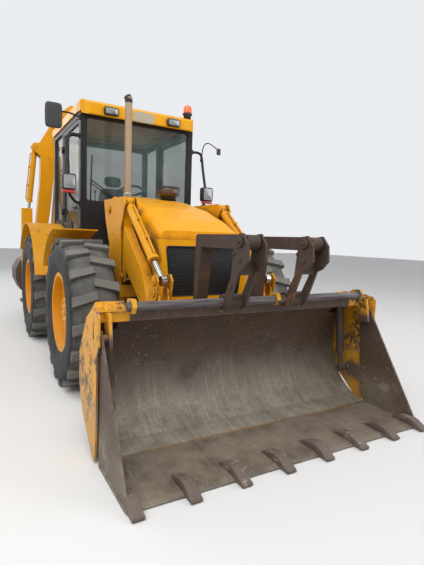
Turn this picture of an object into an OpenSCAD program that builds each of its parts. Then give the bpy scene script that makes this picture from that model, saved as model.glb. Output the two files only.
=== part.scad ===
// Backhoe loader with four equal wheels, drawn with its front towards -Y,
// its left side towards +X and the ground at z = 0.
// Places along the machine are counted from the front axle and shifted once,
// so that the middle of the whole machine is the origin.

/* [Wheels] */
// Distance between the two axles
wheelbase = 2220; // [2180:10:2260]
// Distance between the middles of the left and right tyres
track = 1900; // [1880:10:1920]
// Outer radius of a tyre, to the tips of its lugs
tyre_r = 700; // [680:5:710]
// Width of a tyre
tyre_w = 430; // [400:10:440]
// Outer radius of the rim flange
rim_r = 375; // [360:5:390]
// Height of a tyre lug
lug_h = 38; // [25:1:45]
// Number of lugs on each half of a tread
lugs = 18; // [14:1:22]

/* [Chassis] */
// Half width over the two side members
frame_half = 370; // [350:5:380]
// Thickness of a side member
frame_t = 60; // [40:5:80]
// Front end of the side members, ahead of the front axle
frame_front = 720; // [700:5:740]
// From the rear axle back to the rear face of the rear frame plate
frame_tail = 910; // [900:5:920]

/* [Bonnet] */
// Half width of the bonnet
hood_half = 425; // [405:5:430]
// Height of the bonnet at its rear edge
hood_top = 1920; // [1890:5:1930]
// Height of the bonnet's lower edge
hood_edge = 1420; // [1400:5:1440]
// Thickness of the bonnet skin
hood_t = 12; // [8:1:20]
// Front face of the nose panel, ahead of the front axle
nose_front = 800; // [790:5:810]
// Half width of the nose panel
nose_half = 460; // [445:5:465]

/* [Cab] */
// Front face of the cab, behind the front axle
cab_front = 960; // [950:5:970]
// Length of the cab
cab_len = 1660; // [1640:10:1680]
// Half width of the cab
cab_half = 720; // [710:5:725]
// Height of the cab floor
cab_floor = 1060; // [1040:5:1080]
// Height of the underside of the roof
cab_eave = 2850; // [2830:10:2870]
// Top of the roof
cab_top = 3030; // [3010:5:3050]
// Thickness of a cab post
post = 70; // [60:2:80]
// Thickness of the glass
glass_t = 6; // [5:1:8]

/* [Loader arms] */
// Middle of a loader arm, from the centre line
arm_x = 520; // [516:1:522]
// Width of a loader arm
arm_w = 90; // [80:1:94]
// Thickness of the plates of the towers, levers and ears
plate = 15; // [12:1:16]
// Gap between an arm and the plates beside it
side_gap = 10; // [8:1:12]
// Radius of the pins of the loader
pin_r = 25; // [22:1:28]

/* [Loader bucket] */
// Width of the loader bucket
bucket_w = 2440; // [2400:10:2460]
// Thickness of the bucket plates
bucket_t = 12; // [10:1:16]
// Number of teeth
teeth = 8; // [6:1:9]
// Radius of the fork rail
rail_r = 30; // [26:1:32]

/* [Backhoe] */
// Distance of the slew pin behind the rear frame plate
slew_reach = 450; // [440:5:470]
// Width of the digging bucket
dig_w = 600; // [450:10:600]
// Width of the boom
boom_w = 232; // [226:2:240]
// Width of the dipper
dipper_w = 180; // [160:2:184]
// Radius of the backhoe pins
hoe_pin_r = 28; // [24:1:30]

/* [Stabilisers] */
// Middle of a stabiliser leg, from the centre line
leg_x = 1050; // [1030:5:1060]
// Width of the outer tube of a stabiliser
leg_w = 150; // [140:2:160]
// Height of a raised foot
foot_z = 400; // [360:10:440]

/* [Hidden] */
$fn = 48;
eps = 0.01;

YELLOW = "orange";
DARK = "dimgray";
BLACK = "black";
STEEL = "silver";
RUST = "saddlebrown";

// Pivots of the loader, as [y, z]
ARM_PIN = [220, 1700];
LIFT_BASE = [700, 1200];
LIFT_EYE = [-150, 1050];
TILT_BASE = [-160, 1760];
LEVER_PIN = [-850, 740];
TILT_EYE = [-1020, 1085];
LINK_TOP = [-1000, 990];
BUCKET_PIN = [-1020, 330];
LINK_LOW = BUCKET_PIN + LINK_TOP - LEVER_PIN;
RAIL = [-1670, 1000];
CLAM_PIN = [-1630, 800];
CLAM_BASE = [-1400, 900];
CLAM_EYE = [-1460, 300];
FORK_PIN = [-1870, 1420];
LIP_Y = -2264;

// Pivots of the backhoe at rest, slewed to the machine's right, as [x, z]
SLEW_X = -300;
FOOT_PIN = [-580, 950];
BOOM_BASE = [-260, 1150];
BOOM_EYE = [-200, 2150];
TOP_PIN = [-500, 3380];
DIPPER_BASE = [-220, 2420];
DIPPER_EYE = [-280, 3540];
RAM_TOP = [-860, 2850];
ROCKER_PIN = [-790, 1550];
ROCKER_END = [-1010, 1390];
NOSE_PIN = [-800, 1280];
BUCKET_EAR = [-940, 1140];

frame_rear = wheelbase + frame_tail;
slew_y = frame_rear + slew_reach;
rear_end = slew_y + dig_w / 2;
mid_y = (LIP_Y + rear_end) / 2;
wheel_x = track / 2;
king_x = 770;
axle_z = tyre_r;
rear_axle = wheelbase;
cab_rear = cab_front + cab_len;
plate_in = arm_x - arm_w / 2 - side_gap - plate;
plate_out = arm_x + arm_w / 2 + side_gap;
run = 0.5;

// Shifts a piece from the front axle's frame into the machine's own frame
module in_place() {
    translate([0, -mid_y, 0]) children();
}

// A plate with its outline in y and z, from x0 with thickness t
module side_plate(points, x0, t) {
    translate([x0, 0, 0]) rotate([90, 0, 90]) linear_extrude(t) polygon(points);
}

// A plate with its outline in x and z, from y0 with thickness t
module cross_plate(points, y0, t) {
    translate([0, y0 + t, 0]) rotate([90, 0, 0]) linear_extrude(t) polygon(points);
}

// A box between two corners
module block(a, b) {
    translate(a) cube(b - a);
}

// A round bar along X at p = [y, z]
module bar_x(p, r, x0, x1) {
    translate([x0, p[0], p[1]]) rotate([0, 90, 0]) cylinder(r = r, h = x1 - x0);
}

// A round bar along Y at p = [x, z]
module bar_y(p, r, y0, y1) {
    translate([p[0], y1, p[1]]) rotate([90, 0, 0]) cylinder(r = r, h = y1 - y0);
}

// A round bar between two points in space
module strut(a, b, r) {
    d = b - a;
    l = norm(d);
    translate(a) rotate([0, acos(d[2] / l), atan2(d[1], d[0])]) cylinder(r = r, h = l);
}

// The piece and its mirror image on the other side
module both() {
    children();
    mirror([1, 0, 0]) children();
}

// A ram's barrel on the line from a to b, with its base eye at a and a mouth bored for the rod
module barrel_2d(a, b, r, rod_r, length, eye_w, pin, neck = 0) {
    d = b - a;
    angle = atan2(d[1], d[0]);
    translate([a[0], a[1], 0]) rotate([0, 0, angle]) difference() {
        union() {
            translate([0, 0, -eye_w / 2]) cylinder(r = pin + 22, h = eye_w);
            translate([pin + 10, 0, 0]) rotate([0, 90, 0])
                cylinder(r = min(r, eye_w / 2 - 4), h = length - pin - 10);
            translate([pin + 10 + neck, 0, 0]) rotate([0, 90, 0])
                cylinder(r = r, h = length - pin - 10 - neck);
            translate([length - 40, 0, 0]) rotate([0, 90, 0]) cylinder(r = r + 6, h = 40);
        }
        translate([0, 0, -eye_w]) cylinder(r = pin + run, h = 2 * eye_w);
        translate([pin + 60 + neck, 0, 0]) rotate([0, 90, 0]) cylinder(r = rod_r + run, h = length);
    }
}

// A ram's rod on the line from a to b, with its eye at b, starting inside the barrel
module rod_2d(a, b, rod_r, start, eye_r, eye_w) {
    d = b - a;
    l = norm(d);
    angle = atan2(d[1], d[0]);
    translate([a[0], a[1], 0]) rotate([0, 0, angle]) difference() {
        union() {
            translate([start, 0, 0]) rotate([0, 90, 0]) cylinder(r = rod_r, h = l - eye_r * 0.6 - start);
            translate([l, 0, -eye_w / 2]) cylinder(r = eye_r, h = eye_w);
        }
    }
}

// Turns a shape drawn in [y, z] and thick along x into place
module as_side(x) {
    translate([x, 0, 0]) rotate([90, 0, 90]) children();
}

// Turns a shape drawn in [x, z] and thick along y into place
module as_cross(y) {
    translate([0, y, 0]) rotate([90, 0, 0]) children();
}

// One step of an arc: points about c with radius r from angle a0 to a1
function arc(c, r, a0, a1, n) = [for (i = [0 : n]) let (a = a0 + (a1 - a0) * i / n)
    c + r * [cos(a), sin(a)]];

// The smooth solid between rings of points, one ring per section
module loft(rings) {
    n = len(rings[0]);
    m = len(rings);
    points = [for (ring = rings) for (p = ring) p];
    sides = [for (j = [0 : m - 2]) for (i = [0 : n - 1])
        [j * n + i, j * n + (i + 1) % n, (j + 1) * n + (i + 1) % n, (j + 1) * n + i]];
    first = [[for (i = [n - 1 : -1 : 0]) i]];
    last = [[for (i = [0 : n - 1]) (m - 1) * n + i]];
    polyhedron(points, concat(first, sides, last), convexity = 6);
}

module chassis_frame() {
    color(DARK) in_place() {
        member = [[-frame_front, 600], [-480, 600], [-330, 830], [330, 830], [480, 620],
            [wheelbase - 480, 620], [wheelbase - 330, 830], [wheelbase + 330, 830],
            [wheelbase + 480, 620], [frame_rear - 130, 620], [frame_rear - 130, 1000],
            [-frame_front, 1000]];
        both() side_plate(member, frame_half - frame_t, frame_t);
        // Cross members seated between the side members
        w = frame_half - frame_t - 0.3;
        difference() {
            block([-w, -frame_front, 600], [w, -frame_front + 40, 1000]);
            // Towing hole
            bar_y([0, 700], 22, -frame_front - 1, -frame_front + 41);
        }
        block([-w, -420, 880], [w, -360, 960]);
        block([-w, 440, 840], [w, 520, 900]);
        block([-w, wheelbase - 520, 840], [w, wheelbase - 440, 900]);
    }
}

module towers() {
    color(YELLOW) in_place() both() tower();
}

module side_tanks() {
    color(YELLOW) in_place() both() tank();
}

module tower() {
    tower_side = [[440, 1815], [-215, 1810], [-250, 1740], [-130, 1500], [-130, 980], [-130, 840],
        [150, 840], [160, 1230], [364, 1593]];
    inner = plate_in;
    outer = plate_out;
    for (x = [inner, outer]) side_plate(tower_side, x, plate);
    block([frame_half, -130, 840], [outer + plate, 150, 960]);
    // The pins of the arm and the tilt ram, and the post that carries the lift ram
    bar_x(ARM_PIN, pin_r, inner, outer + plate + 12);
    post_side = [[870, 960], [870, 1120], [760, 1262], [700, 1268], [640, 1200], [700, 1140], [770, 960]];
    for (x = [inner, outer]) side_plate(post_side, x, plate);
    block([frame_half, 770, 850], [outer + plate, 870, 990]);
    bar_x(LIFT_BASE, pin_r, inner, outer + plate + 12);
}

module tank() {
    block([frame_half + 30, 880, 560], [930, 1340, 980]);
    block([frame_half, 950, 700], [frame_half + 40, 1300, 900]);
    // Two steps below the door
    block([700, 1000, 430], [960, 1280, 450]);
    for (y = [1000, 1265]) block([700, y, 430], [730, y + 15, 561]);
}

module drive_line() {
    color(DARK) in_place() {
        // Engine, gearbox and cooler
        block([-230, -340, 1000], [230, 430, 1440]);
        block([-200, 430 - eps, 920], [200, 950, 1250]);
        block([-360, -640, 1005], [360, -560, 1380]);
        block([-120, 700, 640], [120, 950, 930]);
        block([-frame_half + frame_t, 540, 930], [frame_half - frame_t, 600, 960]);
        block([-300, -560 - eps, 1005], [-260, -339, 1060]);
        block([260 - 60, -560 - eps, 1005], [260, -339, 1060]);
        for (y = [0, rear_axle]) translate([0, y, 0]) axle();
        bar_ends = [[0, 150, axle_z], [0, 700, 760]];
        strut(bar_ends[0], bar_ends[1], 38);
        strut([0, 940, 760], [0, rear_axle - 150, axle_z], 38);
    }
}

// An axle beam with its centre housing, its trunnion block and the yokes for the knuckles
module axle() {
    yoke_top = 175;
    yoke_t = 35;
    translate([0, 0, axle_z]) {
        rotate([0, 90, 0]) translate([0, 0, -640]) cylinder(r = 85, h = 1280);
        sphere(r = 175);
        rotate([90, 0, 0]) translate([0, 0, -190]) cylinder(r = 110, h = 380);
        block([-120, -90, 100], [120, 90, 300]);
        both() {
            block([600, -80, -yoke_top], [650, 80, yoke_top]);
            for (s = [0, 1]) mirror([0, 0, s]) {
                block([620, -70, yoke_top - yoke_t], [king_x, 70, yoke_top]);
                translate([king_x, 0, yoke_top - yoke_t]) cylinder(r = 70, h = yoke_t);
                translate([king_x, 0, yoke_top - yoke_t - 45]) cylinder(r = 30, h = 46);
            }
        }
        // Steering ram behind the beam
        translate([-250, 150, 20]) rotate([0, 90, 0]) cylinder(r = 45, h = 500);
        block([-60, 60, -10], [60, 130, 60]);
    }
}

module knuckle(side, y) {
    s = side;
    color(DARK) in_place() translate([0, y, axle_z]) scale_x(s) {
        difference() {
            union() {
                translate([king_x, 0, -134]) cylinder(r = 80, h = 268);
                translate([king_x, 0, 0]) rotate([0, 90, 0]) cylinder(r = 125, h = 60);
                translate([king_x + 55, 0, 0]) rotate([0, 90, 0]) cylinder(r = 70, h = 115);
            }
            for (t = [0, 1]) mirror([0, 0, t]) translate([king_x, 0, 92]) cylinder(r = 30 + 2 * run, h = 60);
        }
    }
}

module scale_x(s) {
    if (s > 0) children();
    else mirror([1, 0, 0]) children();
}

// A tyre as a revolved section about its own axle
module tyre(side, y) {
    h = tyre_w / 2;
    crown = tyre_r - lug_h;
    half = [[rim_r - 25.7, h - 52.5], [rim_r + 0.4, h - 48.5], [rim_r + 0.4, h - 32], [rim_r + 30, h - 20],
        [rim_r + 90, h - 2], [crown - 100, h], [crown - 50, h - 8], [crown - 12, h - 40], [crown, h - 90]];
    section = concat(half, [for (i = [len(half) - 1 : -1 : 0]) [half[i][0], -half[i][1]]]);
    color(BLACK) in_place() translate([side * wheel_x, y, axle_z]) rotate([0, 90, 0]) {
        rotate_extrude($fn = 72) polygon(section);
        for (i = [0 : lugs - 1]) for (s = [-1, 1]) rotate([0, 0, (i + (s > 0 ? 0.5 : 0)) * 360 / lugs])
            lug(crown, h, s);
    }
}

// One lug: a bar that runs from the shoulder to just past the middle of the tread
module lug(crown, h, s) {
    low = crown - 20;
    top = sqrt(tyre_r * tyre_r - 92 * 92);
    bar = [[-34, 0.02 * h], [34, -0.06 * h], [92, 0.93 * h], [10, 0.93 * h]];
    rotate([0, 90, 0]) translate([0, 0, low]) linear_extrude(top - low)
        polygon([for (p = bar) [s * p[1], p[0]]]);
}

module rim(side, y) {
    h = tyre_w / 2;
    color(YELLOW) in_place() translate([side * wheel_x, y, axle_z]) scale_x(side) rotate([0, 90, 0]) {
        ring = [[rim_r - 35, -h + 30], [rim_r, -h + 30], [rim_r, -h + 48], [rim_r - 26, -h + 52],
            [rim_r - 26, h - 52], [rim_r, h - 48], [rim_r, h - 30], [rim_r - 35, h - 30]];
        rotate_extrude($fn = 72) polygon(ring);
        difference() {
            rotate_extrude($fn = 72) polygon([[0, 30], [135, 30], [150, 45], [rim_r - 90, 45], [rim_r - 30, 90],
                [rim_r - 30, 106], [rim_r - 95, 62], [150, 62], [135, 125], [118, 140], [0, 140]]);
            for (i = [0 : 9]) rotate([0, 0, i * 36]) translate([215, 0, 0]) cylinder(r = 14, h = 120, $fn = 24);
        }
        difference() {
            translate([0, 0, -98]) cylinder(r = 110, h = 130);
            translate([0, 0, -100]) cylinder(r = 70 + run, h = 115);
        }
    }
}

// Rings of the bonnet's cross-section: place y, half width, top and edge
function hood_ring(y, w, top, edge, r) = let (c = w - r) concat(
    [[-w, y, edge]],
    [for (p = arc([-c, top - r], r, 180, 90, 6)) [p[0], y, p[1]]],
    [for (p = arc([c, top - r], r, 90, 0, 6)) [p[0], y, p[1]]],
    [[w, y, edge]]);

module hood() {
    // Sections: y, half width, top, lower edge, shoulder radius
    sections = [[850, hood_half, hood_top, hood_edge, 150], [300, hood_half, hood_top - 80, hood_edge, 150],
        [-200, hood_half, hood_top - 190, hood_edge, 150], [-520, hood_half, hood_top - 310, hood_edge, 130],
        [-700, hood_half - 10, hood_top - 420, hood_edge, 70]];
    color(YELLOW) in_place() {
        difference() {
            loft([for (s = sections) hood_ring(s[0], s[1], s[2], s[3], s[4])]);
            translate([0, 0, -eps]) loft([for (s = sections)
                hood_ring(s[0] > 800 ? s[0] + 1 : s[0] < -690 ? s[0] + hood_t : s[0],
                    s[1] - hood_t, s[2] - hood_t, s[3] - 1, s[4] - hood_t)]);
            // Notch for the exhaust stack, open to the rear edge
            block([-345, 440, 1500], [-215, 900, 2000]);
        }
        // Air cleaner bowl on its dark foot
        translate([215, 560, hood_top - 60]) cylinder(r = 85, h = 70);
        translate([215, 560, hood_top + 5]) cylinder(r1 = 110, r2 = 130, h = 30, $fn = 48);
        translate([215, 560, hood_top + 35]) cylinder(r = 130, h = 60);
    }
}

// Half width of the grille's opening at its lower edge
grille_low = 350;

// The nose as a block with round front corners, set in by a margin
module nose_block(margin, back, low, top) {
    r = 50 - margin;
    c = nose_half - 50;
    f = -nose_front + 50;
    translate([0, 0, low]) linear_extrude(top - low) polygon(concat(arc([-c, f], r, 180, 270, 6),
        arc([c, f], r, 270, 360, 6), [[nose_half - margin, back], [-nose_half + margin, back]]));
}

module nose_panel() {
    color(YELLOW) in_place() {
        top = hood_edge - 0.3;
        difference() {
            nose_block(0, -470, 890, top);
            nose_block(16, -460, 880, top - 16);
            cross_plate([[-grille_low, 925], [grille_low, 925], [400, 1362], [-400, 1362]], -nose_front - 1, 21);
        }
        // Side panels below the bonnet
        both() block([hood_half - 30, -471, 1010], [hood_half - 16, 850, top]);
        both() block([frame_half - 20, -300, 1000], [hood_half - 20, -260, 1030]);
        both() block([frame_half - 20, 600, 1000], [hood_half - 20, 640, 1030]);
    }
}

module grille() {
    color(BLACK) in_place() {
        y = -nose_front + 16;
        cross_plate([[-grille_low - 10, 915], [grille_low + 10, 915], [410, 1370], [-410, 1370]], y, 8);
        for (z = [940 : 28 : 1345]) {
            w = grille_low - 3 + (400 - grille_low) * (z - 925) / 437;
            block([-w, y - 10, z], [w, y + 1, z + 9]);
        }
    }
}

module exhaust() {
    color(DARK) in_place() {
        translate([-280, 585, 1440]) cylinder(r = 44, h = 400);
        translate([-280, 585, 1800]) cylinder(r = 50, h = 90);
        translate([-280, 585, 1840]) difference() {
            cylinder(r = 40, h = 1140);
            translate([0, 0, 400]) cylinder(r = 36, h = 800);
            translate([-60, -50, 1140]) rotate([-30, 0, 0]) cube([120, 150, 100]);
        }
        block([-310, 430, 1340], [-180, 640, 1441]);
    }
}

module fenders() {
    color(YELLOW) in_place() both() {
        // Front mudguard: a curved sheet over the rear of the tyre, on its bracket
        side_plate([[110, 1492], [230, 1474], [330, 1440], [450, 1382], [580, 1288], [680, 1176], [727, 1092],
            [715, 1090], [669, 1170], [571, 1279], [443, 1372], [325, 1429], [227, 1462], [110, 1480]], 740, 430);
        block([plate_out + plate, 775, 900], [1000, 815, 940]);
        side_plate([[700, 1150], [715, 1096], [790, 900], [800, 940], [730, 1100]], 850, 30);
        block([850, 715, 1090], [880, 800, 1130]);
        // Rear mudguard: a curved sheet about the rear axle
        rear_arch();
    }
}

module rear_arch() {
    r = 870;
    difference() {
        as_side(cab_half + 0.3) linear_extrude(1165 - cab_half) translate([rear_axle, axle_z]) difference() {
            circle(r = r + 12);
            circle(r = r);
            polygon([[0, 0], [-1200, 330], [-1200, -1200], [1200, -1200], [1200, 830]]);
        }
    }
}

module cab_frame() {
    color(BLACK) in_place() {
        w = cab_half;
        in = 540;
        arch_y = 1480;
        arch_z = 1430;
        // Floor, narrowed between the rear wheels, with inner walls and shelves over them
        block([-w, cab_front, cab_floor - 60], [w, arch_y, cab_floor]);
        block([-in, arch_y - 1, cab_floor - 60], [in, cab_rear, cab_floor]);
        both() {
            block([in - 35, arch_y, cab_floor - 1], [in, cab_rear, arch_z]);
            block([in - 35, arch_y, arch_z - 1], [w, cab_rear, arch_z + 30]);
            // Front, middle and rear posts
            block([w - post, cab_front, cab_floor], [w, cab_front + 60, cab_eave]);
            block([w - post, 1950, arch_z], [w, 1950 + post, cab_eave]);
            block([w - post, cab_rear - post, arch_z], [w, cab_rear, cab_eave]);
            block([w - post, cab_front, cab_eave - 60], [w, cab_rear, cab_eave]);
            // Side walls behind the door and over the rear wheel
            side_plate([[1262, cab_floor - 1], [1362, 1290], [1465, 1448], [1535, 1550], [1950, 1550], [1950, arch_z],
                [arch_y, arch_z], [arch_y, cab_floor - 1]], w - 35, 30);
            block([w - 40, 2019, arch_z], [w - 5, cab_rear - post + 1, 1640]);
            // Mounts and door hinges
            block([frame_half - 45, 1560, 1000], [frame_half - 10, 1640, cab_floor - 59]);
            block([frame_half - 45, 2300, 1000], [frame_half - 10, 2400, cab_floor - 59]);
            for (z = [1700, 2520]) {
                translate([w + 12, 1950, z]) cylinder(r = 11, h = 40);
                block([w - 1, 1950, z], [w + 12, 1990, z + 40]);
            }
        }
        block([-w, cab_front, cab_eave - 60], [w, cab_front + 60, cab_eave]);
        block([-w, cab_rear - post, cab_eave - 60], [w, cab_rear, cab_eave]);
        block([-in, cab_rear - 40, cab_floor - 1], [in, cab_rear - 5, 1500]);
        block([-w, cab_rear - 40, arch_z], [w, cab_rear - 5, 1500]);
        // Scuttle below the windscreen
        block([-w, cab_front, cab_floor - 1], [w, cab_front + 40, 1840]);
    }
}

// Height of the visor's lower edge
visor_low = 2805;

module cab_roof() {
    color(YELLOW) in_place() {
        w = cab_half;
        // The visor hangs in front of the windscreen's upper edge
        side = [[cab_front - 15, cab_eave], [cab_rear + 30, cab_eave], [cab_rear + 30, cab_top - 70],
            [cab_rear - 60, cab_top], [cab_front + 160, cab_top], [cab_front - 50, cab_top - 70],
            [cab_front - 90, cab_top - 100], [cab_front - 90, visor_low + 10], [cab_front - 75, visor_low],
            [cab_front - 15, visor_low + 20]];
        difference() {
            intersection() {
                side_plate(side, -w - 20, 2 * w + 40);
                cross_plate([[-w - 20, visor_low - 10], [w + 20, visor_low - 10], [w + 20, cab_top - 80],
                    [w - 60, cab_top], [-w + 60, cab_top], [-w - 20, cab_top - 80]], 0, 4000);
                // The roof seen from above, with its front corners cut
                translate([0, 0, visor_low - 20]) linear_extrude(400) polygon([[-w - 20, cab_rear + 380],
                    [-w - 20, cab_front + 100], [-w - 5, cab_front], [-w + 35, cab_front - 65],
                    [-w + 100, cab_front - 100], [w - 100, cab_front - 100], [w - 35, cab_front - 65],
                    [w + 5, cab_front], [w + 20, cab_front + 100], [w + 20, cab_rear + 380]]);
            }
            block([-w + 60, cab_front + 60, cab_eave - 1], [w - 60, cab_rear - 60, cab_eave + 60]);
        }
        translate([w - 60, cab_front + 50, cab_top - 80]) cylinder(r = 42, h = 82);
    }
}

module cab_glass() {
    color("lightblue") in_place() {
        w = cab_half;
        block([-w + post, cab_front + 20, 1840], [w - post, cab_front + 20 + glass_t, cab_eave - 60]);
        block([-w + post, cab_rear - 30, 1500], [w - post, cab_rear - 30 + glass_t, cab_eave - 60]);
        both() block([w - 30, 1950 + post, 1640], [w - 30 + glass_t, cab_rear - post, cab_eave - 60]);
    }
}

module cab_interior() {
    color(DARK) in_place() {
        f = cab_floor;
        // Dashboard column, steering wheel, consoles and the seat's base
        block([-150, cab_front + 40, f], [150, cab_front + 170, 1720]);
        block([-w_dash(), cab_front + 40, 1700], [w_dash(), cab_front + 260, 1840]);
        strut([0, cab_front + 200, 1800], [0, cab_front + 330, 1960], 30);
        translate([0, cab_front + 330, 1960]) rotate([-39, 0, 0]) {
            rotate_extrude($fn = 48) translate([190, 0]) circle(r = 16, $fn = 16);
            translate([0, 0, -20]) cylinder(r = 36, h = 40);
            for (a = [90, 210, 330]) rotate([0, 0, a]) block([20, -15, -6], [182, 15, 6]);
        }
        both() block([330, 1500, f], [480, 2050, 1560]);
        block([-200, 1560, f], [200, 1960, 1400]);
        both() block([250, 2400, f], [480, 2560, 1850]);
    }
}

function w_dash() = 520;

module seat_pads() {
    color("gray") in_place() {
        block([-240, 1480, 1400], [240, 1980, 1520]);
        difference() {
            side_plate([[1870, 1519], [1980, 1519], [2110, 2140], [2020, 2150]], -235, 470);
        }
        side_plate([[2030, 2140], [2100, 2130], [2130, 2300], [2070, 2310]], -130, 260);
    }
}

module lamps() {
    color(BLACK) in_place() {
        w = cab_half;
        // Work lamps in the roof's front, headlamp pods on bent stalks, mirrors and the beacon
        both() block([310, cab_front - 105, visor_low + 18], [478, cab_front - 90, visor_low + 102]);
        both() {
            block([w_pod() - 75, 780, 1930], [w_pod() + 75, 880, 2110]);
            strut([w + 14, cab_front + 20, 1800], [w_pod(), 840, 1935], 16);
            block([w, cab_front + 5, 1775], [w + 18, cab_front + 40, 1825]);
            // Hoop from the post down to the pod
            block([w, cab_front + 5, 2545], [w + 18, cab_front + 40, 2595]);
            strut([w + 12, cab_front + 15, 2570], [865, cab_front + 5, 2565], 12);
            strut([865, cab_front + 5, 2573], [w_pod(), 850, 2100], 12);
        }
        mirror([1, 0, 0]) {
            strut([w + 12, cab_front + 20, 2780], [1010, 900, 2770], 10);
            block([w, cab_front + 5, 2755], [w + 18, cab_front + 40, 2805]);
            block([930, 880, 2590], [1120, 910, 2870]);
        }
        strut([866, cab_front + 4, 2500], [930, 955, 2700], 9);
        strut([928, 955, 2696], [1130, 955, 2640], 9);
        block([1085, 940, 2575], [1150, 962, 2665]);
        translate([w - 60, cab_front + 50, cab_top + 2]) cylinder(r = 60, h = 25);
        translate([w - 60, cab_front + 50, cab_top + 26]) cylinder(r = 55, h = 80);
    }
}

function w_pod() = 880;

module rear_frame() {
    color(YELLOW) in_place() {
        y1 = frame_rear;
        // The rear plate with its two rails, and the outer tubes of the stabilisers
        block([-leg_x + 68, y1 - 110, 560], [leg_x - 68, y1 - 80, 1000]);
        for (z = [560, 940]) block([-leg_x + 68, y1 - 80 - eps, z], [leg_x - 68, y1, z + 60]);
        both() block([frame_half - 60, y1 - 130, 620], [frame_half, y1 - 109, 1000]);
        both() difference() {
            block([leg_x - leg_w / 2, y1 - 110, foot_z + 60], [leg_x + leg_w / 2, y1 + 20, 1820]);
            block([leg_x - leg_w / 2 + 14, y1 - 96, foot_z], [leg_x + leg_w / 2 - 14, y1 + 6, 1806]);
        }
    }
}

module leg(side) {
    color(DARK) in_place() {
        y1 = frame_rear;
        x = side * leg_x;
        h = leg_w / 2 - 14.3;
        block([x - h, y1 - 95.7, foot_z - 1], [x + h, y1 + 5.7, 1500]);
        block([x - 100, y1 - 190, foot_z - 30], [x + 100, y1 + 80, foot_z]);
    }
}

// Outline of a loader arm in y and z
arm_side = [[130, 1780], [-375, 1340], [-640, 1150], [-800, 880], [-1090, 340], [-1080, 270], [-1020, 255],
    [-950, 290], [-640, 830], [-500, 940], [-130, 1180], [300, 1640], [310, 1730], [230, 1795]];

module loader_arms() {
    color(YELLOW) in_place() {
        x0 = arm_x - arm_w / 2;
        both() {
            difference() {
                side_plate(arm_side, x0, arm_w);
                bar_x(ARM_PIN, pin_r + 2 * run, x0 - 1, x0 + arm_w + 1);
            }
            // Bracket for the lift ram below the arm: two cheeks with stub bosses
            cheek = [[-60, 1260], [-250, 1160], [-190, 1000], [-110, 1000], [-60, 1150]];
            for (x = [x0 - 2, x0 + arm_w - plate + 2]) side_plate(cheek, x, plate);
            bar_x(LIFT_EYE, pin_r, x0 - 8, x0 - 1);
            bar_x(LIFT_EYE, pin_r, x0 + arm_w + 1, x0 + arm_w + 8);
            // Ears and pin for the tilt ram, on top of the arm
            ear = [[-20, 1600], [-95, 1790], [-130, 1810], [-170, 1810], [-208, 1780], [-210, 1740],
                [-176, 1700], [-150, 1480]];
            difference() {
                side_plate(ear, x0, arm_w);
                block([x0 + 15, -400, 1650], [x0 + arm_w - 15, 100, 1900]);
            }
            bar_x(TILT_BASE, pin_r, x0, x0 + arm_w);
            // Pins of the lever and the bucket
            bar_x(LEVER_PIN, pin_r, plate_in - 8, plate_out + plate + 8);
            bar_x(BUCKET_PIN, pin_r, plate_in - 8, plate_out + plate + 8);
        }
        bar_x([-905, 520], 50, -x0 - 5, x0 + 5);
    }
}

lift_len = norm(LIFT_EYE - LIFT_BASE);
module lift_barrels() {
    color(YELLOW) in_place() both() as_side(arm_x)
        barrel_2d(LIFT_BASE, LIFT_EYE, 42, 26, 720, 90, pin_r);
}
module lift_rods() {
    color(STEEL) in_place() both() as_side(arm_x)
        rod_2d(LIFT_BASE, LIFT_EYE, 26, 90, 45, 44);
}
module tilt_barrels() {
    color(YELLOW) in_place() both() as_side(arm_x)
        barrel_2d(TILT_BASE, TILT_EYE, 45, 26, 850, 56, pin_r, 52);
}
module tilt_rods() {
    color(STEEL) in_place() both() as_side(arm_x)
        rod_2d(TILT_BASE, TILT_EYE, 26, 232, 42, 44);
}

module tipping_levers() {
    outline = [[-900, 700], [-850, 680], [-800, 710], [-800, 760], [-930, 1060], [-970, 1130], [-1030, 1140],
        [-1075, 1090], [-1055, 1000], [-1040, 950]];
    color(YELLOW) in_place() both() {
        for (x = [plate_in, plate_out]) difference() {
            side_plate(outline, x, plate);
            bar_x(LEVER_PIN, pin_r + 2 * run, x - 1, x + plate + 1);
        }
        for (p = [LINK_TOP, TILT_EYE]) {
            bar_x(p, pin_r, plate_in - 6, plate_in + 1);
            bar_x(p, pin_r, plate_out + plate - 1, plate_out + plate + 6);
        }
        bar_x(LINK_TOP, pin_r, plate_in + plate - 1, arm_x - 32);
        bar_x(LINK_TOP, pin_r, arm_x + 32, plate_out + 1);
    }
}

module tipping_links() {
    d = LINK_LOW - LINK_TOP;
    color(YELLOW) in_place() both() for (x = [arm_x - 50, arm_x + 32]) difference() {
        union() {
            for (p = [LINK_TOP, LINK_LOW]) bar_x(p, 45, x, x + 18);
            as_side(x + 9) translate([LINK_TOP[0], LINK_TOP[1], 0]) rotate([0, 0, atan2(d[1], d[0])])
                block([20, -32, -8], [norm(d) - 20, 32, 8]);
        }
        for (p = [LINK_TOP, LINK_LOW]) bar_x(p, pin_r + 2 * run, x - 1, x + 19);
    }
}

// Middle of the clam's rams, in from the ends of the bucket
clam_ram_x = bucket_w / 2 - 140;
// Outline of the hooks that hold the fork rail
hook_side = [[-1655, 960], [-1560, 960], [-1620, 1045], [-1700, 1050], [-1720, 1000], [-1700, 960]];

// The curved back of the bucket: centre and radius in y and z
BACK_C = [-1710, 495];
back_r = 480;

module back_sheet(x0, x1, a0, a1) {
    translate([x0, 0, 0]) rotate([90, 0, 90]) linear_extrude(x1 - x0) difference() {
        polygon(concat(arc(BACK_C, back_r + bucket_t, a0, a1, 24), arc(BACK_C, back_r, a1, a0, 24)));
    }
}

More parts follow.
